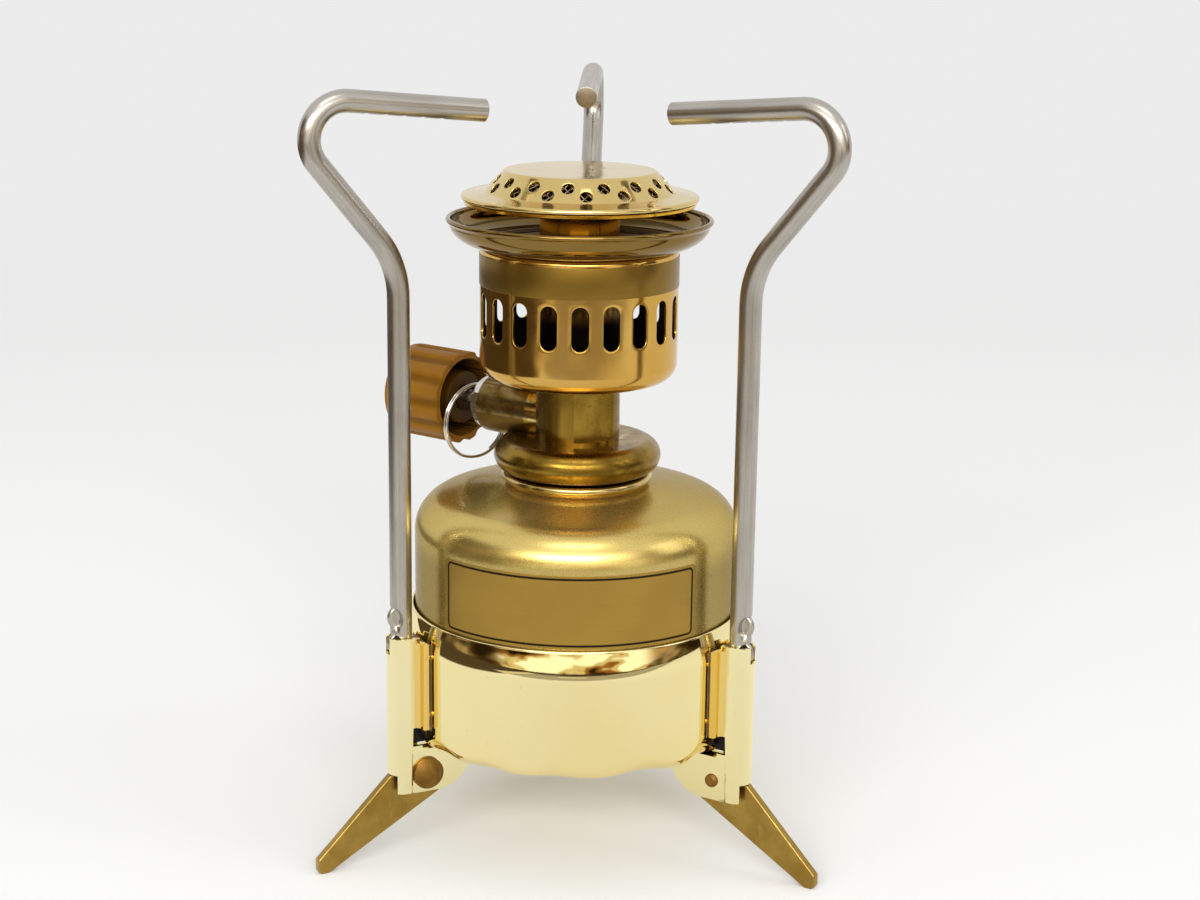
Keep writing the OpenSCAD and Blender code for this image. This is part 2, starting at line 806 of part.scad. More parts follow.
// The crimped collar with its threaded gas outlet
module cartridge_collar() {
  curl_in = neck_r + neck_clear;
  curl_z = collar_z - collar_curl;
  seam_z = collar_z - collar_seam;
  wall_out = neck_r - can_wall - neck_clear;
  wall_in = wall_out - collar_sheet;
  bore_r = outlet_r - outlet_wall;
  hole_r = pin_r + pin_room;
  roof_z = outlet_z - outlet_roof;
  color(gold)
    rotate_extrude()
      polygon(concat(
        [[curl_in, curl_z]],
        arc([collar_r - collar_sheet, curl_z + collar_sheet], collar_sheet, -90, 0, 4),
        arc([collar_r - collar_edge_r, collar_z - collar_edge_r], collar_edge_r, 0, 90, 6),
        [[wall_in, collar_z], [wall_in, collar_floor_z], [outlet_r, collar_floor_z], [outlet_r, outlet_z]],
        [[hole_r, outlet_z], [hole_r, roof_z], [bore_r, roof_z], [bore_r, housing_top_z]],
        [[wall_out, housing_top_z], [wall_out, seam_z], [curl_in, seam_z]]
      ));
}

module cartridge_label() {
  color(bronze)
    rotate([0, 0, -90 - label_angle / 2])
      translate([0, 0, label_z])
        rotate_extrude(angle = label_angle)
          translate([can_r + skin_gap, 0])
            square([skin, label_top_z - label_z]);
}

// Nylon cup that hangs from the collar and holds the spring
module outlet_housing() {
  color(nylon)
    translate([0, 0, housing_top_z - housing_h])
      difference() {
        cylinder(h = housing_h, r = housing_r);
        translate([0, 0, housing_wall])
          cylinder(h = housing_h, r = housing_in_r);
        translate([0, 0, -EPS])
          cylinder(h = housing_wall + 2 * EPS, r = passage_r);
      }
}

// Sprung pin that the burner's probe presses down
module outlet_stem() {
  color(old_brass) {
    translate([0, 0, pin_head_z - pin_head_h])
      cylinder(h = pin_head_h, r = housing_in_r - pin_room);
    translate([0, 0, pin_head_z - EPS])
      cylinder(h = pin_top_z - pin_head_z + EPS, r = pin_r);
  }
}

module outlet_gasket() {
  color(rubber)
    translate([0, 0, housing_top_z - gasket_h])
      difference() {
        cylinder(h = gasket_h, r = housing_in_r - gasket_gap);
        translate([0, 0, -EPS])
          cylinder(h = gasket_h + 2 * EPS, r = pin_r + pin_gap);
      }
}

// Coil of round wire as one swept tube
module outlet_spring() {
  coil_r = housing_in_r - pin_room - spring_wire_r;
  low = housing_top_z - housing_h + housing_wall + spring_gap + spring_wire_r;
  top = pin_head_z - pin_head_h - spring_gap - spring_wire_r;
  rings = spring_turns * spring_steps;
  points = [
    for (i = [0 : rings], k = [0 : spring_sides - 1])
      let (a = 360 * i / spring_steps, b = 360 * k / spring_sides)
        [
          (coil_r + spring_wire_r * cos(b)) * cos(a),
          (coil_r + spring_wire_r * cos(b)) * sin(a),
          low + (top - low) * i / rings + spring_wire_r * sin(b)
        ]
  ];
  sides = [
    for (i = [0 : rings - 1], k = [0 : spring_sides - 1])
      let (p = i * spring_sides + k, q = i * spring_sides + (k + 1) % spring_sides)
        [p, p + spring_sides, q + spring_sides, q]
  ];
  triangles = [for (f = sides) each [[f[0], f[1], f[2]], [f[0], f[2], f[3]]]];
  first = [for (k = [1 : spring_sides - 2]) [0, k, k + 1]];
  last = [for (k = [1 : spring_sides - 2]) rings * spring_sides * [1, 1, 1] + [0, k + 1, k]];
  color(steel)
    polyhedron(points, concat(triangles, first, last), convexity = 6);
}

module valve_body() {
  edge_r = flange_h / 2;
  color(old_brass)
    difference() {
      union() {
        translate([0, 0, flange_z])
          rotate_extrude()
            polygon(concat([[0, 0]], arc([flange_r - edge_r, edge_r], edge_r, -90, 90, 16), [[0, flange_h]]));
        translate([0, 0, flange_z])
          spanner_column();
        translate([0, 0, column_z - EPS])
          cylinder(h = stud_h + EPS, r = stud_r);
        on_knob_axis()
          cylinder(h = boss_end, r = boss_r);
      }
      // Threaded socket for the gas outlet
      translate([0, 0, flange_z - EPS])
        cylinder(h = socket_z - flange_z + EPS, r = socket_r);
      // Probe's hole, then the way up to the needle and on to the jet
      translate([0, 0, socket_z - EPS])
        cylinder(h = probe_depth + EPS, r = probe_r);
      rotate([0, 0, knob_azimuth])
        translate([passage_x, 0, socket_z - passage_lap])
          rotate([0, atan2(passage_run, axis_z - socket_z), 0])
            cylinder(h = norm([passage_run, axis_z - socket_z]) + passage_lap, r = passage_r);
      translate([0, 0, axis_z])
        cylinder(h = column_z - axis_z + stud_h, r = passage_r);
      translate([0, 0, jet_z - jet_thread_h - filter_h - filter_gap])
        cylinder(h = jet_thread_h + filter_h + 2 * filter_gap, r = jet_thread_r);
      on_knob_axis()
        spindle_bores();
    }
}

// Column with two flats, cut above the flange
module spanner_column() {
  intersection() {
    cylinder(h = column_h, r = column_r);
    union() {
      cylinder(h = flange_h + spanner_foot, r = 2 * column_r);
      rotate([0, 0, spanner_azimuth])
        translate([-spanner_w / 2, -column_d, 0])
          cube([spanner_w, 2 * column_d, column_h]);
    }
  }
}

// Stepped bores along the knob's axis
module spindle_bores() {
  cylinder(h = seat_x + EPS, r = passage_r);
  translate([0, 0, seat_x])
    cylinder(h = chamber_end - seat_x + EPS, r = needle_r + chamber_gap);
  translate([0, 0, chamber_end])
    cylinder(h = o_ring_x - chamber_end, r = screw_bore_r);
  translate([0, 0, o_ring_x - o_ring_r - 2 * o_ring_side])
    cylinder(h = boss_end, r = o_ring_chamber_r);
  translate([0, 0, gland_bore_x])
    cylinder(h = boss_end, r = gland_thread_r);
}

module valve_seal() {
  color(rubber)
    translate([0, 0, socket_z - seal_h])
      difference() {
        cylinder(h = seal_h, r = socket_r - thread_gap);
        translate([0, 0, -EPS])
          cylinder(h = seal_h + 2 * EPS, r = seal_hole_r);
      }
}

// Fixed pin that holds the outlet's pin down
module probe_pin() {
  low = pin_top_z + seal_clear;
  top = socket_z + probe_depth - seal_clear;
  color(steel)
    translate([0, 0, low])
      cylinder(h = top - low, r = probe_r - probe_gap);
}

module gland_nut() {
  color(old_brass)
    on_knob_axis()
      difference() {
        union() {
          translate([0, 0, gland_bore_x + thread_gap])
            cylinder(h = boss_end - gland_bore_x, r = gland_thread_r - thread_gap);
          translate([0, 0, boss_end])
            intersection() {
              cylinder(h = gland_h, r = gland_w / sqrt(3), $fn = 6);
              cylinder(h = gland_h, r1 = gland_w / 2 + gland_chamfer, r2 = gland_w / 2);
            }
        }
        cylinder(h = 2 * gland_end, r = spindle_bore_r);
      }
}

module spindle_o_ring() {
  color(rubber)
    on_knob_axis()
      translate([0, 0, o_ring_x])
        rotate_extrude()
          translate([o_ring_mid, 0])
            circle(o_ring_r);
}

// Needle, screw, seal groove and plain end in one turned piece
module spindle() {
  groove_half = o_ring_r + o_ring_side;
  cone_end = seat_x + needle_cone_h;
  color(steel)
    on_knob_axis()
      rotate_extrude()
        polygon([
          [0, seat_x - 2 * needle_tip[1]], [needle_tip[0], seat_x - needle_tip[1]], [needle_r, cone_end],
          [needle_r, chamber_end], [screw_r, chamber_end + screw_r - needle_r],
          [screw_r, o_ring_x - groove_half], [groove_r, o_ring_x - groove_half],
          [groove_r, o_ring_x + groove_half], [spindle_r, o_ring_x + groove_half],
          [spindle_r, spindle_end], [0, spindle_end]
        ]);
}

module knob() {
  groove_at = knob_r + groove_cut_r - groove_depth;
  color(caramel)
    on_knob_axis()
      translate([0, 0, knob_x])
        difference() {
          rotate_extrude()
            polygon(concat(
              [[0, 0], [knob_r, 0]],
              arc([knob_r - knob_edge_r, knob_l - knob_edge_r], knob_edge_r, 0, 90, 5),
              [[0, knob_l]]
            ));
          for (i = [0 : knob_grooves - 1])
            rotate([0, 0, 360 * i / knob_grooves])
              translate([groove_at, 0, -EPS])
                cylinder(h = knob_l - groove_end + EPS, r = groove_cut_r);
          translate([0, 0, -EPS])
            difference() {
              cylinder(h = knob_hollow + EPS, r = knob_r - knob_skirt);
              translate([0, 0, hub_back])
                cylinder(h = knob_hollow + EPS, r = hub_r);
            }
          translate([0, 0, -EPS])
            cylinder(h = knob_l - knob_end_wall + EPS, r = spindle_r + knob_fit);
        }
}

// Split ring of two turns of wire, hung on the spindle
module hang_ring() {
  color(steel)
    rotate([0, 0, knob_azimuth])
      translate([ring_x, 0, axis_z - ring_drop])
        rotate([0, 0, ring_turn])
          rotate([0, 90, 0])
            rotate_extrude()
              translate([ring_mid_r, 0]) {
                translate([0, -ring_wire / 2])
                  circle(ring_wire / 2);
                translate([0, ring_wire / 2])
                  circle(ring_wire / 2);
                square([ring_wire * 0.6, ring_wire], center = true);
              }
}

module jet() {
  color(gold)
    difference() {
      union() {
        translate([0, 0, jet_z - jet_thread_h])
          cylinder(h = jet_thread_h, r = jet_thread_r - thread_gap);
        translate([0, 0, jet_z])
          cylinder(h = jet_head_h, r = jet_head_r, $fn = 6);
        translate([0, 0, jet_z + jet_head_h - EPS])
          cylinder(h = jet_nose_h, r1 = jet_nose_low_r, r2 = jet_nose_top_r);
      }
      translate([0, 0, jet_z - jet_thread_h - EPS])
        cylinder(h = jet_thread_h + jet_head_h, r = jet_bore_r);
      cylinder(h = 2 * jet_z, r = jet_orifice_r);
    }
}

// Sintered disc under the jet
module jet_filter() {
  color(steel)
    translate([0, 0, jet_z - jet_thread_h - filter_h])
      cylinder(h = filter_h - filter_gap, r = jet_thread_r - thread_gap);
}

module air_cup() {
  in_r = air_r - head_wall;
  low_c = [air_r - air_corner_r, air_z + air_corner_r];
  lip_c = [air_r - lip_r, air_top_z - lip_r];
  color(gold)
    difference() {
      rotate_extrude()
        polygon(concat(
          [[stud_r + stud_gap, air_z]],
          arc(low_c, air_corner_r, -90, 0),
          arc(lip_c, lip_r, 0, 90, 6),
          [[air_r - lip_in, air_top_z], [air_r - lip_in, air_top_z - head_wall]],
          back(arc(lip_c, lip_r - head_wall, 0, 90, 6)),
          back(arc(low_c, air_corner_r - head_wall, -90, 0)),
          [[stud_r + stud_gap, air_z + head_wall]]
        ));
      for (i = [0 : slots - 1])
        rotate([0, 0, slot_turn + 360 * i / slots])
          translate([in_r - air_corner_r, 0, air_z + slot_low])
            air_slot(2 * air_corner_r);
    }
}

// Cutter for one air slot, round at both ends
module air_slot(depth) {
  half = slot_w / 2;
  for (z = [half, slot_l - half])
    translate([0, 0, z])
      rotate([0, 90, 0])
        cylinder(h = depth, r = half);
  translate([0, -half, half])
    cube([depth, slot_w, slot_l - slot_w]);
}

module air_cup_nut() {
  color(old_brass)
    translate([0, 0, air_z + head_wall])
      difference() {
        cylinder(h = nut_h, r = nut_w / sqrt(3), $fn = 6);
        translate([0, 0, -EPS])
          cylinder(h = nut_h + 2 * EPS, r = stud_r + thread_gap);
      }
}

module air_cup_band() {
  color(bronze)
    translate([0, 0, band_z])
      difference() {
        cylinder(h = band_h, r = air_r + skin_gap + skin);
        translate([0, 0, -EPS])
          cylinder(h = band_h + 2 * EPS, r = air_r + skin_gap);
      }
}

// Tube with a wide mouth over the jet and a collar that holds the dish from below
module mixing_tube() {
  in_r = tube_r - tube_wall;
  mouth_in_r = tube_mouth_r - tube_wall;
  mouth_top_z = tube_low_z + tube_mouth_h;
  neck_z = mouth_top_z + tube_neck_h;
  collar_low_z = dish_z - tube_collar_h;
  color(gold)
    rotate_extrude()
      polygon(concat(
        [[tube_mouth_r, tube_low_z], [tube_mouth_r, mouth_top_z], [tube_r, neck_z]],
        [[tube_r, collar_low_z], [tube_collar_r, collar_low_z], [tube_collar_r, dish_z], [tube_r, dish_z]],
        [[tube_r, tube_top_z], [in_r, tube_top_z]],
        [[in_r, neck_z], [mouth_in_r, mouth_top_z], [mouth_in_r, tube_low_z]]
      ));
}

// Shallow bowl whose side is a quarter ellipse up to a rolled rim
module flame_dish() {
  floor_r = air_r - lip_r;
  side_w = dish_r - dish_bead_r - floor_r;
  side_h = dish_h - dish_bead_r;
  outer = [for (p = arc([0, 0], 1, -90, -8, 14)) [floor_r + side_w * p[0], dish_z + side_h * (1 + p[1])]];
  inner = [for (p = arc([0, 0], 1, -8, -90, 14))
    [floor_r + (side_w - head_wall) * p[0], dish_z + head_wall + (side_h - head_wall) * (1 + p[1])]];
  color(gold)
    rotate_extrude()
      polygon(concat(
        [[tube_r + tube_gap, dish_z]],
        outer,
        arc([dish_r - dish_bead_r, dish_z + side_h], dish_bead_r, -60, 200, 12),
        inner,
        [[tube_r + tube_gap, dish_z + head_wall]]
      ));
}

// Stem and base plate under the burner cap
module head_base() {
  in_r = tube_r + tube_gap;
  plate_r = cap_r - brim_r;
  color(gold)
    rotate_extrude()
      polygon([
        [in_r, stem_z], [stem_r, stem_z], [stem_r, base_z - stem_flare], [stem_r + stem_flare, base_z],
        [plate_r, base_z], [plate_r, cap_z], [in_r, cap_z]
      ]);
}

// Radius of the cap's wall at height z, moved in by a distance square to the wall
function cap_wall_at(z, inset) =
  cap_top_r + (cap_top_z - z) / tan(cap_angle) - inset / sin(cap_angle);

// Conical wire gauze that lies behind the cap's flame holes
module gauze() {
  low = cap_foot_z;
  top = cap_top_z - head_wall - 2 * gauze_t;
  face = head_wall + gauze_gap;
  color(steel)
    rotate_extrude()
      polygon([
        [cap_wall_at(low, face), low], [cap_wall_at(top, face), top],
        [cap_wall_at(top, face + gauze_t), top], [cap_wall_at(low, face + gauze_t), low]
      ]);
}

module burner_cap() {
  bead = [cap_r - brim_r, cap_z + brim_r];
  brim = [cap_r - 2 * brim_r, cap_z + 2 * brim_r];
  foot = [cap_wall_r, cap_foot_z];
  top = [cap_top_r, cap_top_z];
  inner_top_z = cap_top_z - head_wall;
  inner_foot_z = cap_foot_z - head_wall;
  color(gold)
    difference() {
      rotate_extrude()
        polygon(concat(
          [[0, inner_top_z], [0, cap_top_z]],
          rounded([0, cap_top_z], top, foot, cap_edge_r),
          rounded(top, foot, brim, cap_edge_r),
          arc(bead, brim_r, 90, -90),
          [brim - [0, head_wall]],
          [[cap_wall_at(inner_foot_z, head_wall), inner_foot_z]],
          [[cap_wall_at(inner_top_z, head_wall), inner_top_z]]
        ));
      for (row = [0, 1], i = [0 : flame_holes - 1]) {
        p = foot + (top - foot) * hole_rows[row];
        rotate([0, 0, hole_turn + 360 * (i + (1 - row) / 2) / flame_holes])
          translate([p[0], 0, p[1]])
            rotate([0, cap_angle, 0])
              cylinder(h = 4 * head_wall, r = flame_hole_d / 2, center = true);
      }
    }
}

stand_cup();
for (i = [0 : 2]) {
  bracket(AZIMUTH[i]);
  leg(AZIMUTH[i]);
  leg_rivet(AZIMUTH[i]);
  pot_support(AZIMUTH[i]);
}
cartridge_shell();
cartridge_base();
cartridge_collar();
cartridge_label();
outlet_housing();
outlet_stem();
outlet_spring();
outlet_gasket();
valve_body();
valve_seal();
probe_pin();
gland_nut();
spindle_o_ring();
spindle();
knob();
hang_ring();
jet();
jet_filter();
air_cup();
air_cup_nut();
air_cup_band();
mixing_tube();
flame_dish();
head_base();
gauze();
burner_cap();
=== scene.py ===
"""Camping gas burner: fine meshes, finishes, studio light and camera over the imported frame."""

import logging
import math
from dataclasses import dataclass
from enum import Enum
from typing import Callable, Sequence, Union

import bmesh
import bpy
from mathutils import Matrix, Vector


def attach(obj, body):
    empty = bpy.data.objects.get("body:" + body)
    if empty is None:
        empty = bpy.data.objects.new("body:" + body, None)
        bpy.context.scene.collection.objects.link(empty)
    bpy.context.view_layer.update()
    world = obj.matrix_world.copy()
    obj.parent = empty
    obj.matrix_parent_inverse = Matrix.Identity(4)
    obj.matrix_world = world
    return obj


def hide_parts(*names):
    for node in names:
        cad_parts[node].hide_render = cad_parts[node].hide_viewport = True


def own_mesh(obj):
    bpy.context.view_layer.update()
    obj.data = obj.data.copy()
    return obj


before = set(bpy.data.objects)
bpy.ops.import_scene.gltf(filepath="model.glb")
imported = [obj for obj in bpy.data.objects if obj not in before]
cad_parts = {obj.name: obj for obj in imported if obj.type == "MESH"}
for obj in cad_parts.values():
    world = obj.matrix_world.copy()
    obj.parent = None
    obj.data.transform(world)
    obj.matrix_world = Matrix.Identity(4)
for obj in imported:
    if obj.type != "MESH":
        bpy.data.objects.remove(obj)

LOG = logging.getLogger("burner")
MM = 0.001
# Heights that a bump stands for, in metres
FINE, COARSE = 0.00001, 0.00002
# Marks that a finish reads from a mesh's run; the inner mark and the black mark get painted shade, dark or black
PLAIN, SHADED_INNER, SAWN, SHADE_BLACK = (0.0, 0.0, 0.0), (1.0, 0.0, 0.0), (0.0, 0.0, 1.0), (1.0, 0.0, 1.0)
# Back and face of a foil over the sheet that carries it, in millimetres
FOIL = (0.02, 0.12)
# Where the lamps and the panes point, in metres
AIM = (0.0, 0.0, 0.1)
# Turns in degrees: edges beyond the first are rounded, beyond the second stay crisp, under the third are merged
EASED, CRISP, LEVEL = 32.0, 40.0, 0.6
SIDES = {"rear": 90.0, "left": 210.0, "right": 330.0}

Flat = tuple[float, float]
Point = tuple[float, float, float]
Colour = tuple[float, float, float]
Input = Union["Signal", float, Sequence[float]]


# Shader helpers


class Signal:
    """A shader socket that joins in Python arithmetic."""

    def __init__(self, graph: "Graph", socket: bpy.types.NodeSocket | None) -> None:
        """Keeps the socket and the graph it belongs to."""
        self.graph = graph
        self.socket = socket

    def _math(self, operation: str, first: Input, second: Input = 0.0, third: Input = 0.0) -> "Signal":
        """Adds one Math node.

        Args:
            operation: Blender's name of the operation.
            first: First value.
            second: Second value.
            third: Third value, for the operations that take one.

        Returns:
            The node's value.
        """
        return self.graph.node("ShaderNodeMath", {"operation": operation}, {0: first, 1: second, 2: third})

    def __add__(self, other: Input) -> "Signal":
        """Sum."""
        return self._math("ADD", self, other)

    def __radd__(self, other: Input) -> "Signal":
        """Sum, reflected."""
        return self._math("ADD", other, self)

    def __sub__(self, other: Input) -> "Signal":
        """Difference."""
        return self._math("SUBTRACT", self, other)

    def __rsub__(self, other: Input) -> "Signal":
        """Difference, reflected."""
        return self._math("SUBTRACT", other, self)

    def __mul__(self, other: Input) -> "Signal":
        """Product."""
        return self._math("MULTIPLY", self, other)

    def __rmul__(self, other: Input) -> "Signal":
        """Product, reflected."""
        return self._math("MULTIPLY", other, self)

    def __pow__(self, other: Input) -> "Signal":
        """Power."""
        return self._math("POWER", self, other)

    def absolute(self) -> "Signal":
        """Size without the sign."""
        return self._math("ABSOLUTE", self)

    def at_least(self, other: Input) -> "Signal":
        """The larger of two values."""
        return self._math("MAXIMUM", self, other)

    def step(self, low: float, high: float) -> "Signal":
        """Smooth step.

        Args:
            low: Value that gives 0.
            high: Value that gives 1.

        Returns:
            A value from 0 to 1.
        """
        settings = {"interpolation_type": "SMOOTHSTEP"}
        return self.graph.node("ShaderNodeMapRange", settings, {0: self, 1: low, 2: high, 3: 0.0, 4: 1.0})


class Graph:
    """The node graph of one material or of the world."""

    def __init__(self, owner: bpy.types.Material | bpy.types.World) -> None:
        """Starts an empty graph.

        Args:
            owner: The material or the world.
        """
        self.owner = owner
        owner.use_nodes = True
        self.tree = owner.node_tree
        self.tree.nodes.clear()

    @classmethod
    def named(cls, name: str) -> "Graph":
        """The empty graph of a new material."""
        return cls(bpy.data.materials.new(name))

    def node(self, kind: str, settings: dict | None = None, sockets: dict | None = None, out: int | str = 0) -> Signal:
        """Adds one node.

        Args:
            kind: Blender's type name of the node.
            settings: Properties of the node.
            sockets: Values or links of its inputs, by name or number.
            out: Output to hand on.

        Returns:
            The chosen output; it has no socket if the node has no outputs.
        """
        made = self.tree.nodes.new(kind)
        for key, value in (settings or {}).items():
            setattr(made, key, value)
        for key, value in (sockets or {}).items():
            self.feed(made.inputs[key], value)
        return Signal(self, made.outputs[out] if made.outputs else None)

    def feed(self, target: bpy.types.NodeSocket, value: Input) -> None:
        """Links or sets one input.

        Args:
            target: The input.
            value: A signal, a number or a colour.
        """
        if isinstance(value, Signal):
            self.tree.links.new(value.socket, target)
        elif isinstance(value, (int, float)):
            target.default_value = float(value)
        else:
            room = len(target.default_value)
            target.default_value = (tuple(value) + (1.0,))[:room]

    def place(self) -> Signal:
        """Object coordinates, in metres."""
        return self.node("ShaderNodeTexCoord", out="Object")

    def attribute(self, name: str) -> Signal:
        """A named vector kept in the mesh."""
        return self.node("ShaderNodeAttribute", {"attribute_name": name}, out="Vector")

    def parts(self, vector: Signal) -> tuple[Signal, Signal, Signal]:
        """Splits a vector.

        Args:
            vector: The vector.

        Returns:
            Its three values.
        """
        first = self.node("ShaderNodeSeparateXYZ", None, {0: vector})
        return tuple(Signal(self, s) for s in first.socket.node.outputs)

    def stretch(self, vector: Signal, scale: Point) -> Signal:
        """Scales a vector along each axis."""
        return self.node("ShaderNodeVectorMath", {"operation": "MULTIPLY"}, {0: vector, 1: scale})

    def noise(self, vector: Signal, scale: float, detail: float = 3.0, rough: float = 0.55) -> Signal:
        """Soft noise.

        Args:
            vector: Coordinates.
            scale: Features to the metre.
            detail: Finer layers.
            rough: Weight of the finer layers.

        Returns:
            A value around 0.5.
        """
        sockets = {"Vector": vector, "Scale": scale, "Detail": detail, "Roughness": rough}
        return self.node("ShaderNodeTexNoise", None, sockets)

    def blend(self, factor: Input, first: Input, second: Input) -> Signal:
        """Mixes two colours.

        Args:
            factor: Share of the second.
            first: First colour.
            second: Second colour.

        Returns:
            The mixed colour.
        """
        return self.node("ShaderNodeMix", {"data_type": "RGBA"}, {0: factor, 6: first, 7: second}, out=2)

    def worn_edge(self, low: float, high: float) -> Signal:
        """Mask of the outer edges, where a surface turns sharply."""
        return self.node("ShaderNodeNewGeometry", out="Pointiness").step(low, high)

    def bump(self, height: Signal, strength: float, distance: float) -> Signal:
        """A bumped normal.

        Args:
            height: Height signal.
            strength: Weight of the bump.
            distance: Height in metres that 1 stands for.

        Returns:
            The normal.
        """
        return self.node("ShaderNodeBump", None, {"Strength": strength, "Distance": distance, "Height": height})

    def close(self, **sockets: Input) -> bpy.types.Material:
        """Adds the surface shader and the output.

        Args:
            sockets: Shader inputs, with spaces written as underscores.

        Returns:
            The material.
        """
        named = {key.replace("_", " "): value for key, value in sockets.items()}
        self.show(self.node("ShaderNodeBsdfPrincipled", None, named))
        return self.owner

    def show(self, shader: Signal, kind: str = "ShaderNodeOutputMaterial") -> None:
        """Joins a shader to the output node of the material, or of another kind."""
        self.node(kind, None, {"Surface": shader})


# Finishes


class Grain(Enum):
    """Direction of the fine lines that a tool leaves in metal."""

    AROUND = (30.0, 30.0, 4200.0)
    ALONG = (2600.0, 2600.0, 60.0)


@dataclass(frozen=True)
class Finish:
    """A named finish that makes its material once."""

    name: str

    def material(self) -> bpy.types.Material:
        """The material, made on first use."""
        return bpy.data.materials.get(self.name) or self.paint(Graph.named(self.name))

    def paint(self, graph: Graph) -> bpy.types.Material:
        """Builds the graph; each kind of finish has its own."""
        raise NotImplementedError


@dataclass(frozen=True)
class Plate(Finish):
    """Bright plated sheet with faint smudges, drawing lines and specks; painted shade on its inner side and deep
    spots, and a painted reflection on its folds.
    """

    colour: Colour = (0.92, 0.76, 0.36)
    tint: Colour = (0.86, 0.64, 0.24)
    low: float = 0.05
    high: float = 0.13
    grain: Grain = Grain.AROUND
    lines: float = 0.10
    specks: float = 0.35
    speck: Colour = (0.16, 0.10, 0.03)
    # Painted shade on the sheet's inner side and in the narrow spaces marked as inner
    inner: Colour = (0.030, 0.019, 0.008)
    dull: float = 0.0
    # Painted reflection: the amber the brackets' folds mirror from the gold walls
    fold_reflection: Colour = (0.90, 0.65, 0.20)
    # Painted black shade for the deep marks
    painted_black: Colour = (0.008, 0.006, 0.004)
    warp: float = 0.0
    warp_scale: float = 45.0

    def paint(self, graph: Graph) -> bpy.types.Material:
        """Plating: smudged colour and gloss, fine lines, a few dark specks; the inner side is dull with painted shade,
        the folds get a painted reflection and the deep marks painted black shade.
        """
        place = graph.place()
        smudge = graph.noise(place, 55.0, 4.0, 0.6).step(0.38, 0.68)
        cloud = graph.noise(place, 18.0, 2.0).step(0.3, 0.7)
        lines = graph.noise(graph.stretch(place, self.grain.value), 1.0, 3.0, 0.6)
        specks = graph.noise(place, 900.0, 1.0, 0.4).step(0.76, 0.80) * self.specks
        base = graph.blend(cloud * 0.55 + smudge * 0.2, self.colour, self.tint)
        base = graph.blend(specks, base, self.speck)
        rough = smudge * (self.high - self.low) + lines * 0.03 + specks * 0.3 + (self.low - 0.015)
        # Painted shade on the inner side, painted reflection on the folds, painted black shade in the deep spots
        inside, fold, deep = graph.parts(graph.attribute("run"))
        shade_inside = inside.step(0.5, 0.95)
        base = graph.blend(fold, base, self.fold_reflection)
        painted_shade = graph.noise(place, 240.0, 4.0, 0.6)
        base = graph.blend(shade_inside, base, graph.blend(painted_shade, self.inner, tuple(c * 2.2 for c in self.inner)))
        base = graph.blend(deep, base, self.painted_black)
        rough = rough + shade_inside * (painted_shade * 0.2 + 0.35)
        wave = graph.noise(place, self.warp_scale, 1.5, 0.5)
        normal = graph.bump((lines + smudge * 0.15) * (self.lines * 0.4) + wave * self.warp, 1.0, FINE)
        return graph.close(Base_Color=base, Metallic=1.0 - shade_inside * self.dull, Roughness=rough, Normal=normal)


@dataclass(frozen=True)
class Bronze(Finish):
    """Satin bronze plating, rubbed bright along its edges."""

    colour: Colour = (0.46, 0.30, 0.072)
    dark: Colour = (0.33, 0.205, 0.042)
    bright: Colour = (0.62, 0.47, 0.20)
    rough: float = 0.20

    def paint(self, graph: Graph) -> bpy.types.Material:
        """Bronze: cloudy tone, brushed scratches and rubbed edges."""
        place = graph.place()
        cloud = graph.noise(place, 90.0, 5.0, 0.6).step(0.32, 0.68)
        brush = graph.noise(graph.stretch(place, (500.0, 500.0, 120.0)), 1.0, 4.0, 0.65)
        rub = graph.worn_edge(0.53, 0.60) * graph.noise(place, 260.0, 3.0).step(0.34, 0.6)
        base = graph.blend(cloud, self.colour, self.dark)
        base = graph.blend(brush.step(0.58, 0.78) * 0.35 + rub * 0.8, base, self.bright)
        rough = cloud * 0.10 + brush * 0.14 + self.rough - rub * 0.08
        normal = graph.bump(brush, 0.25, COARSE)
        return graph.close(Base_Color=base, Metallic=1.0, Roughness=rough, Normal=normal)


@dataclass(frozen=True)
class DrawnRod(Finish):
    """Stainless rod with lengthwise drawing lines and small handling marks."""

    colour: Colour = (0.55, 0.515, 0.46)
    dark: Colour = (0.30, 0.275, 0.24)
    mark: Colour = (0.74, 0.72, 0.69)
    end: Colour = (0.27, 0.22, 0.155)

    def paint(self, graph: Graph) -> bpy.types.Material:
        """Rod: lines that run along it, kept in the mesh as run, and dull sawn ends."""
        run = graph.attribute("run")
        lines = graph.noise(graph.stretch(run, (24.0, 2600.0, 1.0)), 1.0, 4.0, 0.62)
        patch = graph.noise(graph.stretch(run, (60.0, 160.0, 1.0)), 1.0, 4.0, 0.6)
        marks = graph.noise(graph.stretch(run, (1500.0, 500.0, 1.0)), 1.0, 2.0).step(0.66, 0.76)
        base = graph.blend(lines.step(0.35, 0.72) * 0.45 + patch.step(0.4, 0.75) * 0.35, self.colour, self.dark)
        base = graph.blend(marks * 0.4, base, self.mark)
        _, _, sawn = graph.parts(run)
        base = graph.blend(sawn, base, self.end)
        rough = lines * 0.16 + patch * 0.10 + 0.17 + marks * 0.06 + sawn * 0.26
        normal = graph.bump(lines + marks * 0.4, 0.30, COARSE)
        return graph.close(Base_Color=base, Metallic=1.0, Roughness=rough, Normal=normal)


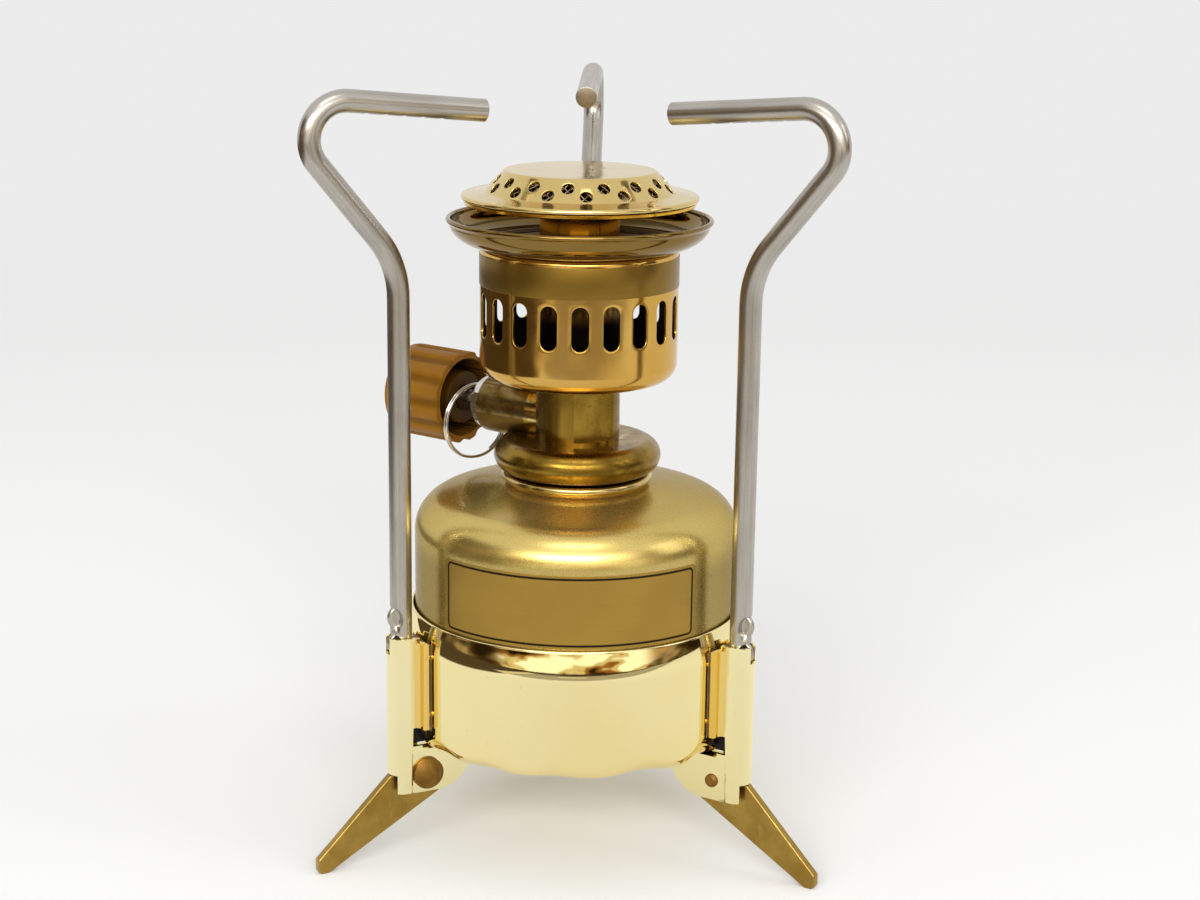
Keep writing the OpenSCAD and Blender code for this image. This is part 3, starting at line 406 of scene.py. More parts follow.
@dataclass(frozen=True)
class Lacquer(Finish):
    """Fine-flake gold lacquer under a clear coat."""

    colour: Colour = (0.76, 0.58, 0.19)
    dark: Colour = (0.60, 0.44, 0.11)
    # Painted shade that darkens the can's lower side: its colour, the heights where it fades and its share
    side: Colour = (0.25, 0.18, 0.055)
    side_z: Flat = (0.083, 0.093)
    side_shade_share: float = 0.62
    scuffed: Colour = (0.70, 0.58, 0.28)
    sheen: Colour = (0.42, 0.35, 0.22)

    def paint(self, graph: Graph) -> bpy.types.Material:
        """Lacquer: flakes that tilt the normal a little, a soft cloud of tone, light scuffs, and painted shade that
        darkens the lower side.
        """
        place = graph.place()
        flakes = graph.noise(place, 2600.0, 2.0, 0.7)
        cloud = graph.noise(place, 26.0, 3.0).step(0.3, 0.7)
        scuff = graph.noise(graph.stretch(place, (120.0, 120.0, 900.0)), 1.0, 4.0, 0.65).step(0.62, 0.76)
        base = graph.blend(cloud * 0.6 + flakes.step(0.4, 0.7) * 0.25, self.colour, self.dark)
        base = graph.blend(scuff * 0.25, base, self.scuffed)
        _, _, height = graph.parts(place)
        # Painted shade: darker below the shoulder
        base = graph.blend((1.0 - height.step(*self.side_z)) * self.side_shade_share, base, self.side)
        rough = flakes * 0.12 + 0.22 + scuff * 0.12
        normal = graph.bump(flakes, 0.55, COARSE)
        return graph.close(
            Base_Color=base, Metallic=0.9, Roughness=rough, Normal=normal, Coat_Weight=0.4, Coat_Roughness=0.15,
            Specular_Tint=self.sheen,
        )


@dataclass(frozen=True)
class Foil(Finish):
    """Satin foil with brushed lines; a dark rule can run round its edge."""

    colour: Colour = (0.43, 0.265, 0.05)
    dark: Colour = (0.36, 0.22, 0.04)
    ink: Colour = (0.020, 0.014, 0.006)
    half_w: float = 0.0
    half_h: float = 0.0
    corner: float = 0.0
    rule: float = 0.00034

    def paint(self, graph: Graph) -> bpy.types.Material:
        """Foil: brushed satin; the rule is drawn from run, the place on the flat foil in metres."""
        place = graph.place()
        run = graph.attribute("run")
        brush = graph.noise(graph.stretch(run, (40.0, 3600.0, 1.0)), 1.0, 3.0, 0.6)
        cloud = graph.noise(place, 40.0, 3.0).step(0.32, 0.68)
        base = graph.blend(cloud * 0.7 + brush.step(0.4, 0.75) * 0.3, self.colour, self.dark)
        rough = brush * 0.12 + cloud * 0.06 + 0.24
        if self.half_w > 0.0:
            across, up, _ = graph.parts(run)
            side = (across.absolute() - (self.half_w - self.corner)).at_least(0.0)
            rise = (up.absolute() - (self.half_h - self.corner)).at_least(0.0)
            reach = (side * side + rise * rise) ** 0.5 - self.corner
            inner = (across.absolute() - self.half_w).at_least(up.absolute() - self.half_h)
            edge = reach.at_least(inner)
            line = 1.0 - edge.absolute().step(self.rule * 0.55, self.rule * 1.25)
            base = graph.blend(line, base, self.ink)
            rough = rough + line * 0.12
        normal = graph.bump(brush, 0.2, FINE)
        return graph.close(Base_Color=base, Metallic=0.9, Roughness=rough, Normal=normal)


@dataclass(frozen=True)
class AgedBrass(Finish):
    """Turned brass that has gone brown in patches."""

    colour: Colour = (0.36, 0.22, 0.032)
    dark: Colour = (0.12, 0.066, 0.008)
    bright: Colour = (0.80, 0.62, 0.25)
    tarnish: float = 0.75
    grain: Grain = Grain.AROUND
    spot: Colour = (0.10, 0.055, 0.012)
    # Painted black shade below a height: the height, its soft edge and its two colours
    black_below: float = 0.0
    black_edge: Flat = (0.0016, 0.0024)
    painted_shade: tuple[Colour, Colour] = ((0.006, 0.004, 0.002), (0.012, 0.008, 0.004))
    # A darker region, partly tarnish and partly painted shade: its direction, start, soft edge, share and colours
    stain_and_shade_way: Flat = (0.0, 0.0)
    stain_and_shade_from: Flat = (0.0, 0.0)
    stain_and_shade_edge: float = 0.0006
    stain_and_shade_share: float = 0.72
    stain: tuple[Colour, Colour] = ((0.10, 0.052, 0.008), (0.05, 0.026, 0.005))

    def paint(self, graph: Graph) -> bpy.types.Material:
        """Brass: tarnish clouds and spots, turning lines, bright rubbed edges; painted black shade below a height, and
        a darker region that is partly tarnish and partly painted shade.
        """
        place = graph.place()
        cloud = graph.noise(place, 70.0, 6.0, 0.62).step(0.34, 0.66)
        spots = graph.noise(place, 420.0, 3.0, 0.6).step(0.60, 0.74)
        lines = graph.noise(graph.stretch(place, self.grain.value), 1.0, 3.0, 0.6)
        rub = graph.worn_edge(0.53, 0.60) * graph.noise(place, 300.0, 3.0).step(0.3, 0.6)
        base = graph.blend(cloud * self.tarnish, self.colour, self.dark)
        base = graph.blend(spots * 0.5 * self.tarnish, base, self.spot)
        base = graph.blend(rub * 0.85, base, self.bright)
        rough = cloud * 0.14 + spots * 0.14 + lines * 0.08 + 0.15 - rub * 0.06
        # Painted black shade below a height
        if self.black_below > 0.0:
            height = graph.parts(place)[2] + (cloud - 0.5) * 0.0012
            painted_shade = 1.0 - height.step(self.black_below - self.black_edge[0], self.black_below + self.black_edge[1])
            base = graph.blend(painted_shade, base, graph.blend(cloud, *self.painted_shade))
            rough = rough + painted_shade * 0.35
        # Partly tarnish, partly painted shade
        if self.stain_and_shade_from[0] > 0.0:
            x, y, z = graph.parts(place)
            reach, low = self.stain_and_shade_from
            out = (x * self.stain_and_shade_way[0] + y * self.stain_and_shade_way[1]).step(reach, reach + self.stain_and_shade_edge)
            stain = out * z.step(low, low + self.stain_and_shade_edge)
            base = graph.blend(stain * self.stain_and_shade_share, base, graph.blend(spots, *self.stain))
            rough = rough + stain * 0.12
        normal = graph.bump(lines + spots * 0.3, 0.22, COARSE)
        return graph.close(Base_Color=base, Metallic=1.0, Roughness=rough, Normal=normal)


@dataclass(frozen=True)
class BrightSteel(Finish):
    """Bright steel wire and turned steel."""

    colour: Colour = (0.66, 0.655, 0.64)
    dark: Colour = (0.42, 0.41, 0.40)
    rough: float = 0.16

    def paint(self, graph: Graph) -> bpy.types.Material:
        """Steel: faint stains and fine lines."""
        place = graph.place()
        stain = graph.noise(place, 220.0, 4.0, 0.6).step(0.42, 0.72)
        lines = graph.noise(place, 2600.0, 2.0)
        base = graph.blend(stain * 0.6, self.colour, self.dark)
        rough = stain * 0.12 + lines * 0.08 + self.rough
        normal = graph.bump(lines, 0.15, FINE)
        return graph.close(Base_Color=base, Metallic=1.0, Roughness=rough, Normal=normal)


@dataclass(frozen=True)
class Moulded(Finish):
    """Moulded plastic or rubber with flow marks and a fine skin."""

    colour: Colour = (0.275, 0.118, 0.003)
    dark: Colour = (0.20, 0.08, 0.002)
    rough: float = 0.30
    gloss: float = 0.10
    depth: float = 0.0
    bleed: Point = (0.004, 0.002, 0.0006)
    # Strength of the painted shade in the hollow back
    hollow: float = 0.0

    def paint(self, graph: Graph) -> bpy.types.Material:
        """Plastic: cloudy tone, rubbed edges and small scratches; painted highlight on the ridges and painted shade in
        the grooves and the hollow.
        """
        place = graph.place()
        flow = graph.noise(place, 75.0, 4.0, 0.6).step(0.3, 0.7)
        skin = graph.noise(place, 1900.0, 3.0, 0.6)
        rub = graph.worn_edge(0.53, 0.60) * graph.noise(place, 300.0, 3.0).step(0.36, 0.62)
        pale = tuple(min(1.0, c * 1.5 + 0.03) for c in self.colour)
        base = graph.blend(flow, self.colour, self.dark)
        base = graph.blend(rub * 0.5, base, pale)
        # Painted highlight on the ridges, painted shade in the grooves and in the hollow back
        if self.hollow > 0.0:
            shade_inside, groove, _ = graph.parts(graph.attribute("run"))
            base = graph.blend((1.0 - groove) * 0.25, base, pale)
            base = graph.blend(groove.step(0.5, 1.0) * 0.4, base, tuple(c * 0.4 for c in self.dark))
            base = graph.blend(shade_inside * self.hollow, base, tuple(c * 0.12 for c in self.dark))
        rough = skin * 0.10 + flow * 0.06 + self.rough + rub * 0.10
        normal = graph.bump(skin, 0.12, COARSE)
        return graph.close(
            Base_Color=base, Roughness=rough, Normal=normal, Specular_IOR_Level=self.gloss,
            Subsurface_Weight=self.depth, Subsurface_Radius=self.bleed, Subsurface_Scale=0.5,
        )


# Its inner colour is painted shade behind the brackets; black below the tabs is painted shade
CUP_PLATE = Plate(
    "cup_plate", colour=(0.97, 0.85, 0.45), tint=(0.95, 0.78, 0.34), low=0.025, high=0.06, specks=0.12, warp=5.0,
    inner=(0.20, 0.13, 0.05), dull=0.8,
)
# Its inner colour is painted shade in the channels; the folds get a painted reflection
BRACKET_PLATE = Plate(
    "bracket_plate", grain=Grain.ALONG, colour=(0.98, 0.91, 0.55), tint=(0.96, 0.82, 0.40), specks=0.12,
    warp=2.0, warp_scale=120.0, inner=(0.20, 0.13, 0.05), dull=0.5,
)
AIR_PLATE = Plate(
    "air_cup_plate", colour=(0.72, 0.45, 0.12), tint=(0.64, 0.36, 0.055), low=0.10, high=0.19, lines=0.25,
    warp=4.5, warp_scale=60.0,
)
DISH_PLATE = Plate("dish_plate", colour=(0.28, 0.18, 0.05), tint=(0.19, 0.11, 0.024), low=0.035, high=0.08, lines=0.2)
STEM_PLATE = Plate("stem_plate", colour=(0.95, 0.56, 0.07), tint=(0.85, 0.44, 0.04), low=0.12, high=0.20, lines=0.2)
CAP_PLATE = Plate(
    "cap_plate", colour=(0.79, 0.62, 0.27), tint=(0.70, 0.50, 0.17), low=0.11, high=0.19, lines=0.2, specks=0.3,
    warp=7.0, warp_scale=190.0,
)
LEG_BRONZE = Bronze("leg_bronze")
RIVET_BRONZE = Bronze("rivet_bronze", colour=(0.35, 0.19, 0.04), dark=(0.19, 0.10, 0.02), rough=0.42)
ROD_STEEL = DrawnRod("rod_steel_drawn")
CAN_LACQUER = Lacquer("can_lacquer")
COLLAR_BRASS = Plate("collar_brass_bright", colour=(0.72, 0.56, 0.24), tint=(0.55, 0.39, 0.13), low=0.12, high=0.24)
LABEL_FOIL = Foil("label_foil", half_w=0.0363, half_h=0.0091, corner=0.0012)
BAND_FOIL = Foil("band_foil", colour=(0.27, 0.16, 0.024), dark=(0.215, 0.125, 0.018))
# The boss is darkened, partly tarnish and partly painted shade
VALVE_BRASS = AgedBrass("valve_brass", stain_and_shade_way=(-0.832, 0.555), stain_and_shade_from=(0.0125, 0.112))
# The mixing tube is painted black below the slots' upper part: painted shade
TUBE_BRASS = AgedBrass(
    "tube_brass", colour=(0.27, 0.145, 0.035), dark=(0.05, 0.026, 0.007), tarnish=0.95, black_below=0.1490,
    grain=Grain.ALONG,
)
GLAND_NICKEL = BrightSteel("gland_nickel", colour=(0.80, 0.75, 0.68), dark=(0.58, 0.52, 0.45), rough=0.10)
SPINDLE_STEEL = BrightSteel("spindle_steel", colour=(0.40, 0.39, 0.38), dark=(0.22, 0.21, 0.20), rough=0.2)
WIRE_STEEL = BrightSteel("wire_steel", colour=(0.74, 0.72, 0.69), rough=0.12)
GAUZE_STEEL = BrightSteel("gauze_steel", colour=(0.40, 0.31, 0.17), dark=(0.20, 0.14, 0.06), rough=0.22)
# hollow is the share of painted shade in the knob's back
KNOB_PLASTIC = Moulded("knob_caramel", depth=0.05, hollow=0.8)
HOUSING_NYLON = Moulded("housing_nylon", colour=(0.72, 0.70, 0.62), dark=(0.62, 0.60, 0.52), rough=0.4)
SEAL_RUBBER = Moulded("seal_rubber_black", colour=(0.022, 0.022, 0.022), dark=(0.014, 0.014, 0.014), rough=0.5)


# Mesh helpers, all in millimetres


def arc(middle: Flat, radius: float, start: float, end: float, steps: int) -> list[Flat]:
    """Points of an arc in a profile.

    Args:
        middle: Centre.
        radius: Radius.
        start: First angle in degrees.
        end: Last angle in degrees.
        steps: Number of chords.

    Returns:
        The points, both ends with them.
    """
    angles = [math.radians(start + (end - start) * i / steps) for i in range(steps + 1)]
    return [(middle[0] + radius * math.cos(a), middle[1] + radius * math.sin(a)) for a in angles]


def smooth(share: float) -> float:
    """Smooth step of a share from 0 to 1."""
    return share * share * (3 - 2 * share)


def rounded(points: Sequence[Flat], radius: float, steps: int, closed: bool = True) -> list[Flat]:
    """Rounds the corners of an outline.

    Args:
        points: Corners in order.
        radius: Radius of each corner.
        steps: Chords of each rounding.
        closed: Whether the outline closes on itself.

    Returns:
        The outline with each corner as an arc.
    """
    count = len(points)
    out: list[Flat] = []
    for i, corner in enumerate(points):
        if not closed and i in (0, count - 1):
            out.append(corner)
            continue
        here = Vector(corner)
        back = Vector(points[i - 1]) - here
        on = Vector(points[(i + 1) % count]) - here
        turn = back.angle(on)
        if turn > math.radians(179.0):
            out.append(corner)
            continue
        run = min(radius / math.tan(turn / 2), 0.49 * back.length, 0.49 * on.length)
        first = here + back.normalized() * run
        last = here + on.normalized() * run
        for k in range(steps + 1):
            t = k / steps
            p = first * (1 - t) ** 2 + here * 2 * t * (1 - t) + last * t * t
            out.append((p.x, p.y))
    return out


def turn_point(radius: float, angle: float, height: float) -> Point:
    """A point at an angle in degrees round the Z axis."""
    a = math.radians(angle)
    return (radius * math.cos(a), radius * math.sin(a), height)


class Shape:
    """Points and faces of one piece before it becomes an object."""

    def __init__(self) -> None:
        """Starts empty."""
        self.points: list[Point] = []
        self.faces: list[Sequence[int]] = []
        self.run: list[Point] = []

    def loop(self, points: Sequence[Point], run: Sequence[Point] | None = None) -> list[int]:
        """Adds points.

        Args:
            points: Places.
            run: Flat coordinates that the finish reads, one for each point.

        Returns:
            Their numbers.
        """
        first = len(self.points)
        self.points.extend(points)
        self.run.extend(run or [PLAIN] * len(points))
        return list(range(first, len(self.points)))

    def bridge(self, a: Sequence[int], b: Sequence[int], closed: bool = True) -> None:
        """Joins two loops of the same length with quads."""
        count = len(a)
        for i in range(count if closed else count - 1):
            j = (i + 1) % count
            self.faces.append((a[i], a[j], b[j], b[i]))

    def skin(self, loops: Sequence[Sequence[int]], capped: bool = False) -> None:
        """Joins loops in order; the ends can be closed with flat faces."""
        for a, b in zip(loops, loops[1:]):
            self.bridge(a, b)
        if capped:
            self.faces.extend((tuple(reversed(loops[0])), tuple(loops[-1])))

    def fan(self, ring: Sequence[int], tip: Point, mark: Point = PLAIN) -> None:
        """Closes a loop with triangles to a point, whose run is the mark."""
        middle = self.loop([tip], [mark])[0]
        for i in range(len(ring)):
            self.faces.append((ring[i], ring[(i + 1) % len(ring)], middle))

    def revolve(
        self, profile: Sequence[Flat], angles: Sequence[float], closed: bool = True, inside: float = 0.0
    ) -> None:
        """Turns a profile of radius and height round the Z axis.

        Args:
            profile: Points in order.
            angles: Angles in degrees, a full turn without the last.
            closed: Whether the profile's end joins its start.
            inside: 1 for the inner side of a sheet, which the finish reads from run and makes dull and dark with
                painted shade.
        """
        rings = []
        for radius, height in profile:
            if radius < 1e-6:
                rings.append(None)
            else:
                ring = [turn_point(radius, a, height) for a in angles]
                rings.append(self.loop(ring, [(inside, 0.0, 0.0)] * len(ring)))
        pairs = list(zip(range(len(profile)), range(1, len(profile))))
        if closed:
            pairs.append((len(profile) - 1, 0))
        for i, j in pairs:
            if rings[i] and rings[j]:
                self.bridge(rings[i], rings[j])
            elif rings[i]:
                self.fan(rings[i], (0.0, 0.0, profile[j][1]))
            elif rings[j]:
                self.fan(rings[j], (0.0, 0.0, profile[i][1]))

    def place(self, matrix: Matrix) -> None:
        """Moves every point by a matrix in millimetres."""
        self.points = [tuple(matrix @ Vector(p)) for p in self.points]

    def build(self, name: str, finish: Finish, sharp: float = 38.0, weld: float = 1e-4) -> bpy.types.Object:
        """Makes the object.

        Args:
            name: Name of the piece.
            finish: Its finish.
            sharp: Edges that turn by more than this many degrees stay crisp.
            weld: Points closer than this many millimetres become one.

        Returns:
            The object, in metres.
        """
        mesh = bpy.data.meshes.new(name)
        mesh.from_pydata([tuple(c * MM for c in p) for p in self.points], [], self.faces)
        layer = mesh.attributes.new("run", "FLOAT_VECTOR", "POINT")
        layer.data.foreach_set("vector", [c for r in self.run for c in r])
        work = bmesh.new()
        work.from_mesh(mesh)
        bmesh.ops.remove_doubles(work, verts=work.verts, dist=weld * MM)
        bmesh.ops.dissolve_degenerate(work, edges=work.edges, dist=weld * MM)
        bmesh.ops.recalc_face_normals(work, faces=work.faces)
        work.to_mesh(mesh)
        work.free()
        mesh.shade_smooth()
        mesh.set_sharp_from_angle(angle=math.radians(sharp))
        made = bpy.data.objects.new(name, mesh)
        bpy.context.scene.collection.objects.link(made)
        mesh.materials.append(finish.material())
        return made


def stations(count: int) -> list[float]:
    """Evenly spaced angles of one turn, in degrees."""
    return [360.0 * i / count for i in range(count)]


def fit(piece: bpy.types.Object, body: str, node: str) -> None:
    """Puts a piece on its body.

    Args:
        piece: The piece.
        body: Body that carries it.
        node: Solid that it stands for.
    """
    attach(piece, body)
    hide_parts(node)
    LOG.info("built %s on %s", piece.name, body)


def dress(node: str, finish: Finish) -> None:
    """Gives a solid that stays its finish.

    Args:
        node: Name of the solid.
        finish: Its finish.
    """
    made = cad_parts[node]
    made.data.materials.clear()
    made.data.materials.append(finish.material())
    LOG.info("dressed %s", node)


def ease(piece: bpy.types.Object, width: float, segments: int) -> None:
    """Rounds a piece's crisp edges and evens its normals.

    Args:
        piece: The piece.
        width: Width of the rounding in millimetres.
        segments: Steps of the rounding.
    """
    bevel = piece.modifiers.new("eased edges", "BEVEL")
    bevel.width = width * MM
    bevel.segments = segments
    bevel.limit_method = "ANGLE"
    bevel.angle_limit = math.radians(EASED)
    bevel.use_clamp_overlap = True
    bevel.harden_normals = False
    normals = piece.modifiers.new("even normals", "WEIGHTED_NORMAL")
    normals.keep_sharp = True
    normals.weight = 80


def eased_copy(
    node: str, name: str, finish: Finish, width: float, segments: int = 2,
    form: Callable[[bmesh.types.BMesh], None] | None = None,
) -> bpy.types.Object:
    """A copy of a solid with clean faces and eased edges.

    Args:
        node: Name of the solid.
        name: Name of the new piece.
        finish: Its finish.
        width: Width of the rounding in millimetres.
        segments: Steps of the rounding.
        form: Further shaping, done before the edges are eased.

    Returns:
        The new piece.
    """
    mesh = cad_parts[node].data.copy()
    mesh.name = name
    work = bmesh.new()
    work.from_mesh(mesh)
    bmesh.ops.remove_doubles(work, verts=work.verts, dist=2e-7)
    bmesh.ops.dissolve_limit(work, angle_limit=math.radians(LEVEL), verts=work.verts, edges=work.edges)
    bmesh.ops.recalc_face_normals(work, faces=work.faces)
    if form:
        form(work)
    work.to_mesh(mesh)
    work.free()
    if "custom_normal" in mesh.attributes:
        mesh.attributes.remove(mesh.attributes["custom_normal"])
    mesh.materials.clear()
    mesh.materials.append(finish.material())
    mesh.shade_smooth()
    mesh.set_sharp_from_angle(angle=math.radians(CRISP))
    made = bpy.data.objects.new(name, mesh)
    bpy.context.scene.collection.objects.link(made)
    ease(made, width, segments)
    return made


# Sub-assemblies


@dataclass
class StandCup:
    """The pressed cup that holds the cartridge."""

    outer: float = 47.6
    wall: float = 0.8
    floor_z: float = 32.2
    top_z: float = 68.1
    corner: float = 3.4
    rim_h: float = 8.2
    rim_draw: float = 1.4
    rim_crease: float = 0.55
    floor_r: float = 20.0
    ripples: int = 15
    ripple: float = 4.0
    # Where the cup gets painted shade behind each bracket, and painted black shade near the rod's foot
    behind: float = 8.7
    behind_z: float = 63.0
    deep_z: float = 39.0
    deep_turn: float = 4.6

    def fullness(self, angle: float) -> float:
        """How much wider the lower corner is at an angle, from the uneven draw of the sheet."""
        a = math.radians(angle)
        wave = 0.5 + 0.5 * math.sin(self.ripples * a + 1.1 * math.sin(3 * a + 0.6))
        return self.ripple * wave * (0.7 + 0.3 * math.sin(2 * a + 4.0 * math.sin(a)))

    def build(self) -> None:
        """Turns the cup, with its rim drawn in along a parabola and its corner rippled."""
        inner = self.outer - self.wall
        low = (self.outer - self.corner, self.floor_z + self.corner)
        side_z = self.top_z - self.rim_h
        lip_z = self.top_z - self.wall / 2
        curve = [(t, self.drawn(t)) for t in (i / 24.0 for i in range(25))]
        outside = [(self.outer + d, side_z + (lip_z - side_z) * t) for t, d in curve]
        inside = [(inner + d, side_z + (lip_z - side_z) * t) for t, d in curve]
        lip = arc((inner - self.rim_draw + self.wall / 2, lip_z), self.wall / 2, 15, 165, 8)
        side = [(self.outer, low[1] + (side_z - low[1]) * t) for t in (0.18, 0.5, 0.97)]
        back = [(inner, z) for _, z in reversed(side)]
        profile = [(0.0, self.floor_z), (self.floor_r, self.floor_z)]
        profile += arc(low, self.corner, -90, 0, 14) + side + outside + lip + inside[::-1] + back
        profile += arc(low, self.corner - self.wall, 0, -90, 14) + [(self.floor_r, self.floor_z + self.wall)]
        profile += [(0.0, self.floor_z + self.wall)]
        shape = Shape()
        shape.revolve(profile, stations(360), closed=False)
        shape.points = [self.rippled(p) for p in shape.points]
        shape.run = [self.shaded(p) for p in shape.points]
        fit(shape.build("stand_cup_sheet", CUP_PLATE), "stand", "stand_cup")

    def drawn(self, share: float) -> float:
        """How far the rim stands in or out of the side, from 0 at its crease to 1 at the lip."""
        soft = share * share / (share + 0.06)
        return -self.rim_draw * (self.rim_crease * soft * 1.06 + (1 - self.rim_crease) * share**2)

    def shaded(self, point: Point) -> Point:
        """Marks the narrow space behind each bracket for painted shade: dark plating, and black under the tabs.

        Args:
            point: Point of the cup.

        Returns:
            The mark that the finish reads.
        """
        x, y, z = point
        turn = math.degrees(math.atan2(y, x))
        aside = min(abs((turn - side + 180.0) % 360.0 - 180.0) for side in SIDES.values())
        reach = self.behind if z > self.deep_z else self.deep_turn
        hidden = aside < reach and z < self.behind_z and math.hypot(x, y) > self.outer - self.wall / 2
        deep = hidden and z < self.deep_z
        return SHADE_BLACK if deep else SHADED_INNER if hidden else PLAIN

    def rippled(self, point: Point) -> Point:
        """Moves a point of the lower corner to the wider corner at its angle.

        Args:
            point: Point of the plain cup.

        Returns:
            The point of the rippled cup.
        """
        x, y, z = point
        reach = math.hypot(x, y)
        low = (self.outer - self.corner, self.floor_z + self.corner)
        if reach < low[0] - 0.01 or z > low[1] + 0.01:
            return point
        grow = (self.corner + self.fullness(math.degrees(math.atan2(y, x)))) / self.corner
        dr, dz = self.outer - reach, z - self.floor_z
        scale = (self.outer - dr * grow) / reach
        return (x * scale, y * scale, self.floor_z + dz * grow)


@dataclass
class Stand:
    """Brackets, legs and rivets of the stand."""

    bracket_edge: float = 0.22
    leg_edge: float = 0.35
    rivet_edge: float = 0.15
    channel_in: float = 3.1
    channel_out: float = 4.1
    jog_r: float = 51.4
    rod_r: float = 53.1
    tab_back: float = 48.95
    tab_face: float = 51.05
    tab_low: float = 39.0
    pad: float = 0.5
    head_flat: float = 0.5
    # A black block behind the rod's foot: painted shadow where the channel would show through
    shadow_block_r: float = 47.2
    shadow_block_half: float = 0.5
    shadow_block_z: Flat = (33.4, 38.9)
    shadow_block_foot: float = 1.3
    fold: float = 0.8

    def folded(self, work: bmesh.types.BMesh, azimuth: float) -> None:
        """Rounds the folds between a channel's wall and its ear, presses the tabs' backs towards the cup,
        adds a black block behind the rod's foot as painted shadow, and marks the inner side for painted shade and the
        tabs' folds for a painted reflection.

        Args:
            work: Mesh of the bracket.
            azimuth: Where the bracket stands, in degrees.
        """
        turn = Matrix.Rotation(math.radians(-azimuth), 3, "Z")
        folds = []
        for edge in work.edges:
            a, b = ((turn @ v.co) / MM for v in edge.verts)
            on_fold = all(
                abs(p.x - self.jog_r) < 0.08 and abs(abs(p.y) - self.channel_out) < 0.08 for p in (a, b)
            )
            if on_fold and abs(a.z - b.z) > 1.0:
                folds.append(edge)
        LOG.info("rounded %d folds", len(folds))
        bmesh.ops.bevel(
            work, geom=folds, offset=self.fold * MM, offset_type="OFFSET", segments=5, profile=0.5, affect="EDGES"
        )
        radial = turn.transposed() @ Vector((1.0, 0.0, 0.0))
        geometry = work.verts[:] + work.edges[:] + work.faces[:]
        bmesh.ops.bisect_plane(work, geom=geometry, plane_co=radial * (self.tab_face + 1.4) * MM, plane_no=radial)
        layer = work.verts.layers.float_vector.new("run")
        for vertex in work.verts:
            p = (turn @ vertex.co) / MM
            reach = math.hypot(p.x, p.y)
            aside = abs(p.y)
            deep = math.hypot(p.x - self.rod_r, p.y) if p.x > self.rod_r else aside
            inner = deep < self.channel_in + 0.1 and p.x > self.jog_r + 0.5
            tab = aside > self.channel_out - 0.05 and p.x < self.tab_face + 0.1 and p.z > self.tab_low
            # Inner side: painted shade; tabs: painted reflection on their folds
            vertex[layer] = (1.0 if inner else 0.0, 1.0 if tab else 0.0, 0.0)
            if tab and abs(reach - self.tab_back) < 0.2:
                vertex.co -= radial * self.pad * MM
        low = Vector((self.shadow_block_r, -self.shadow_block_half, self.shadow_block_z[0]))
        high = Vector((self.jog_r + 0.1, self.shadow_block_half, self.shadow_block_z[1]))
        size = Matrix.Diagonal(((high - low) * MM).to_4d())
        size[3][3] = 1.0
        shadow_block = turn.transposed().to_4x4() @ Matrix.Translation((low + high) / 2 * MM) @ size
        # The block is black all over: painted shadow
        for vertex in bmesh.ops.create_cube(work, size=1.0, matrix=shadow_block)["verts"]:
            vertex[layer] = SHADE_BLACK
            p = (turn @ vertex.co) / MM
            if p.x < low.x + 0.1 and p.z < low.z + 0.1:
                vertex.co -= radial * self.shadow_block_foot * MM

    def headed(self, work: bmesh.types.BMesh, azimuth: float) -> None:
        """Flattens a rivet's domed head beyond its rim.

        Args:
            work: Mesh of the rivet.
            azimuth: Where the rivet's bracket stands, in degrees.
        """
        turn = Matrix.Rotation(math.radians(-azimuth), 3, "Z")
        places = [(turn @ v.co) / MM for v in work.verts]
        middle = Vector([(min(p[i] for p in places) + max(p[i] for p in places)) / 2 for i in range(3)])
        spread = [math.hypot(p.x - middle.x, p.z - middle.z) for p in places]
        widest = max(spread)
        rim = max((p.y for p, s in zip(places, spread) if s > widest - 0.02), key=abs)
        aside = turn.transposed() @ Vector((0.0, 1.0, 0.0))
        for vertex, p in zip(work.verts, places):
            if p.y * rim > 0 and abs(p.y) > abs(rim):
                vertex.co -= aside * (p.y - rim) * self.head_flat * MM

    def build(self) -> None:
        """Eases the folded brackets, the stamped legs and the rivets."""
        for side, azimuth in SIDES.items():
            bracket = eased_copy(
                f"bracket_{side}", f"bracket_{side}_sheet", BRACKET_PLATE, self.bracket_edge, 3,
                lambda work, at=azimuth: self.folded(work, at),
            )
            fit(bracket, "stand", f"bracket_{side}")
            leg = eased_copy(f"leg_{side}", f"leg_{side}_plate", LEG_BRONZE, self.leg_edge, 3)
            fit(leg, f"{side}_leg", f"leg_{side}")
            rivet = eased_copy(
                f"leg_rivet_{side}", f"leg_rivet_{side}_turned", RIVET_BRONZE, self.rivet_edge,
                form=lambda work, at=azimuth: self.headed(work, at),
            )
            fit(rivet, "stand", f"leg_rivet_{side}")


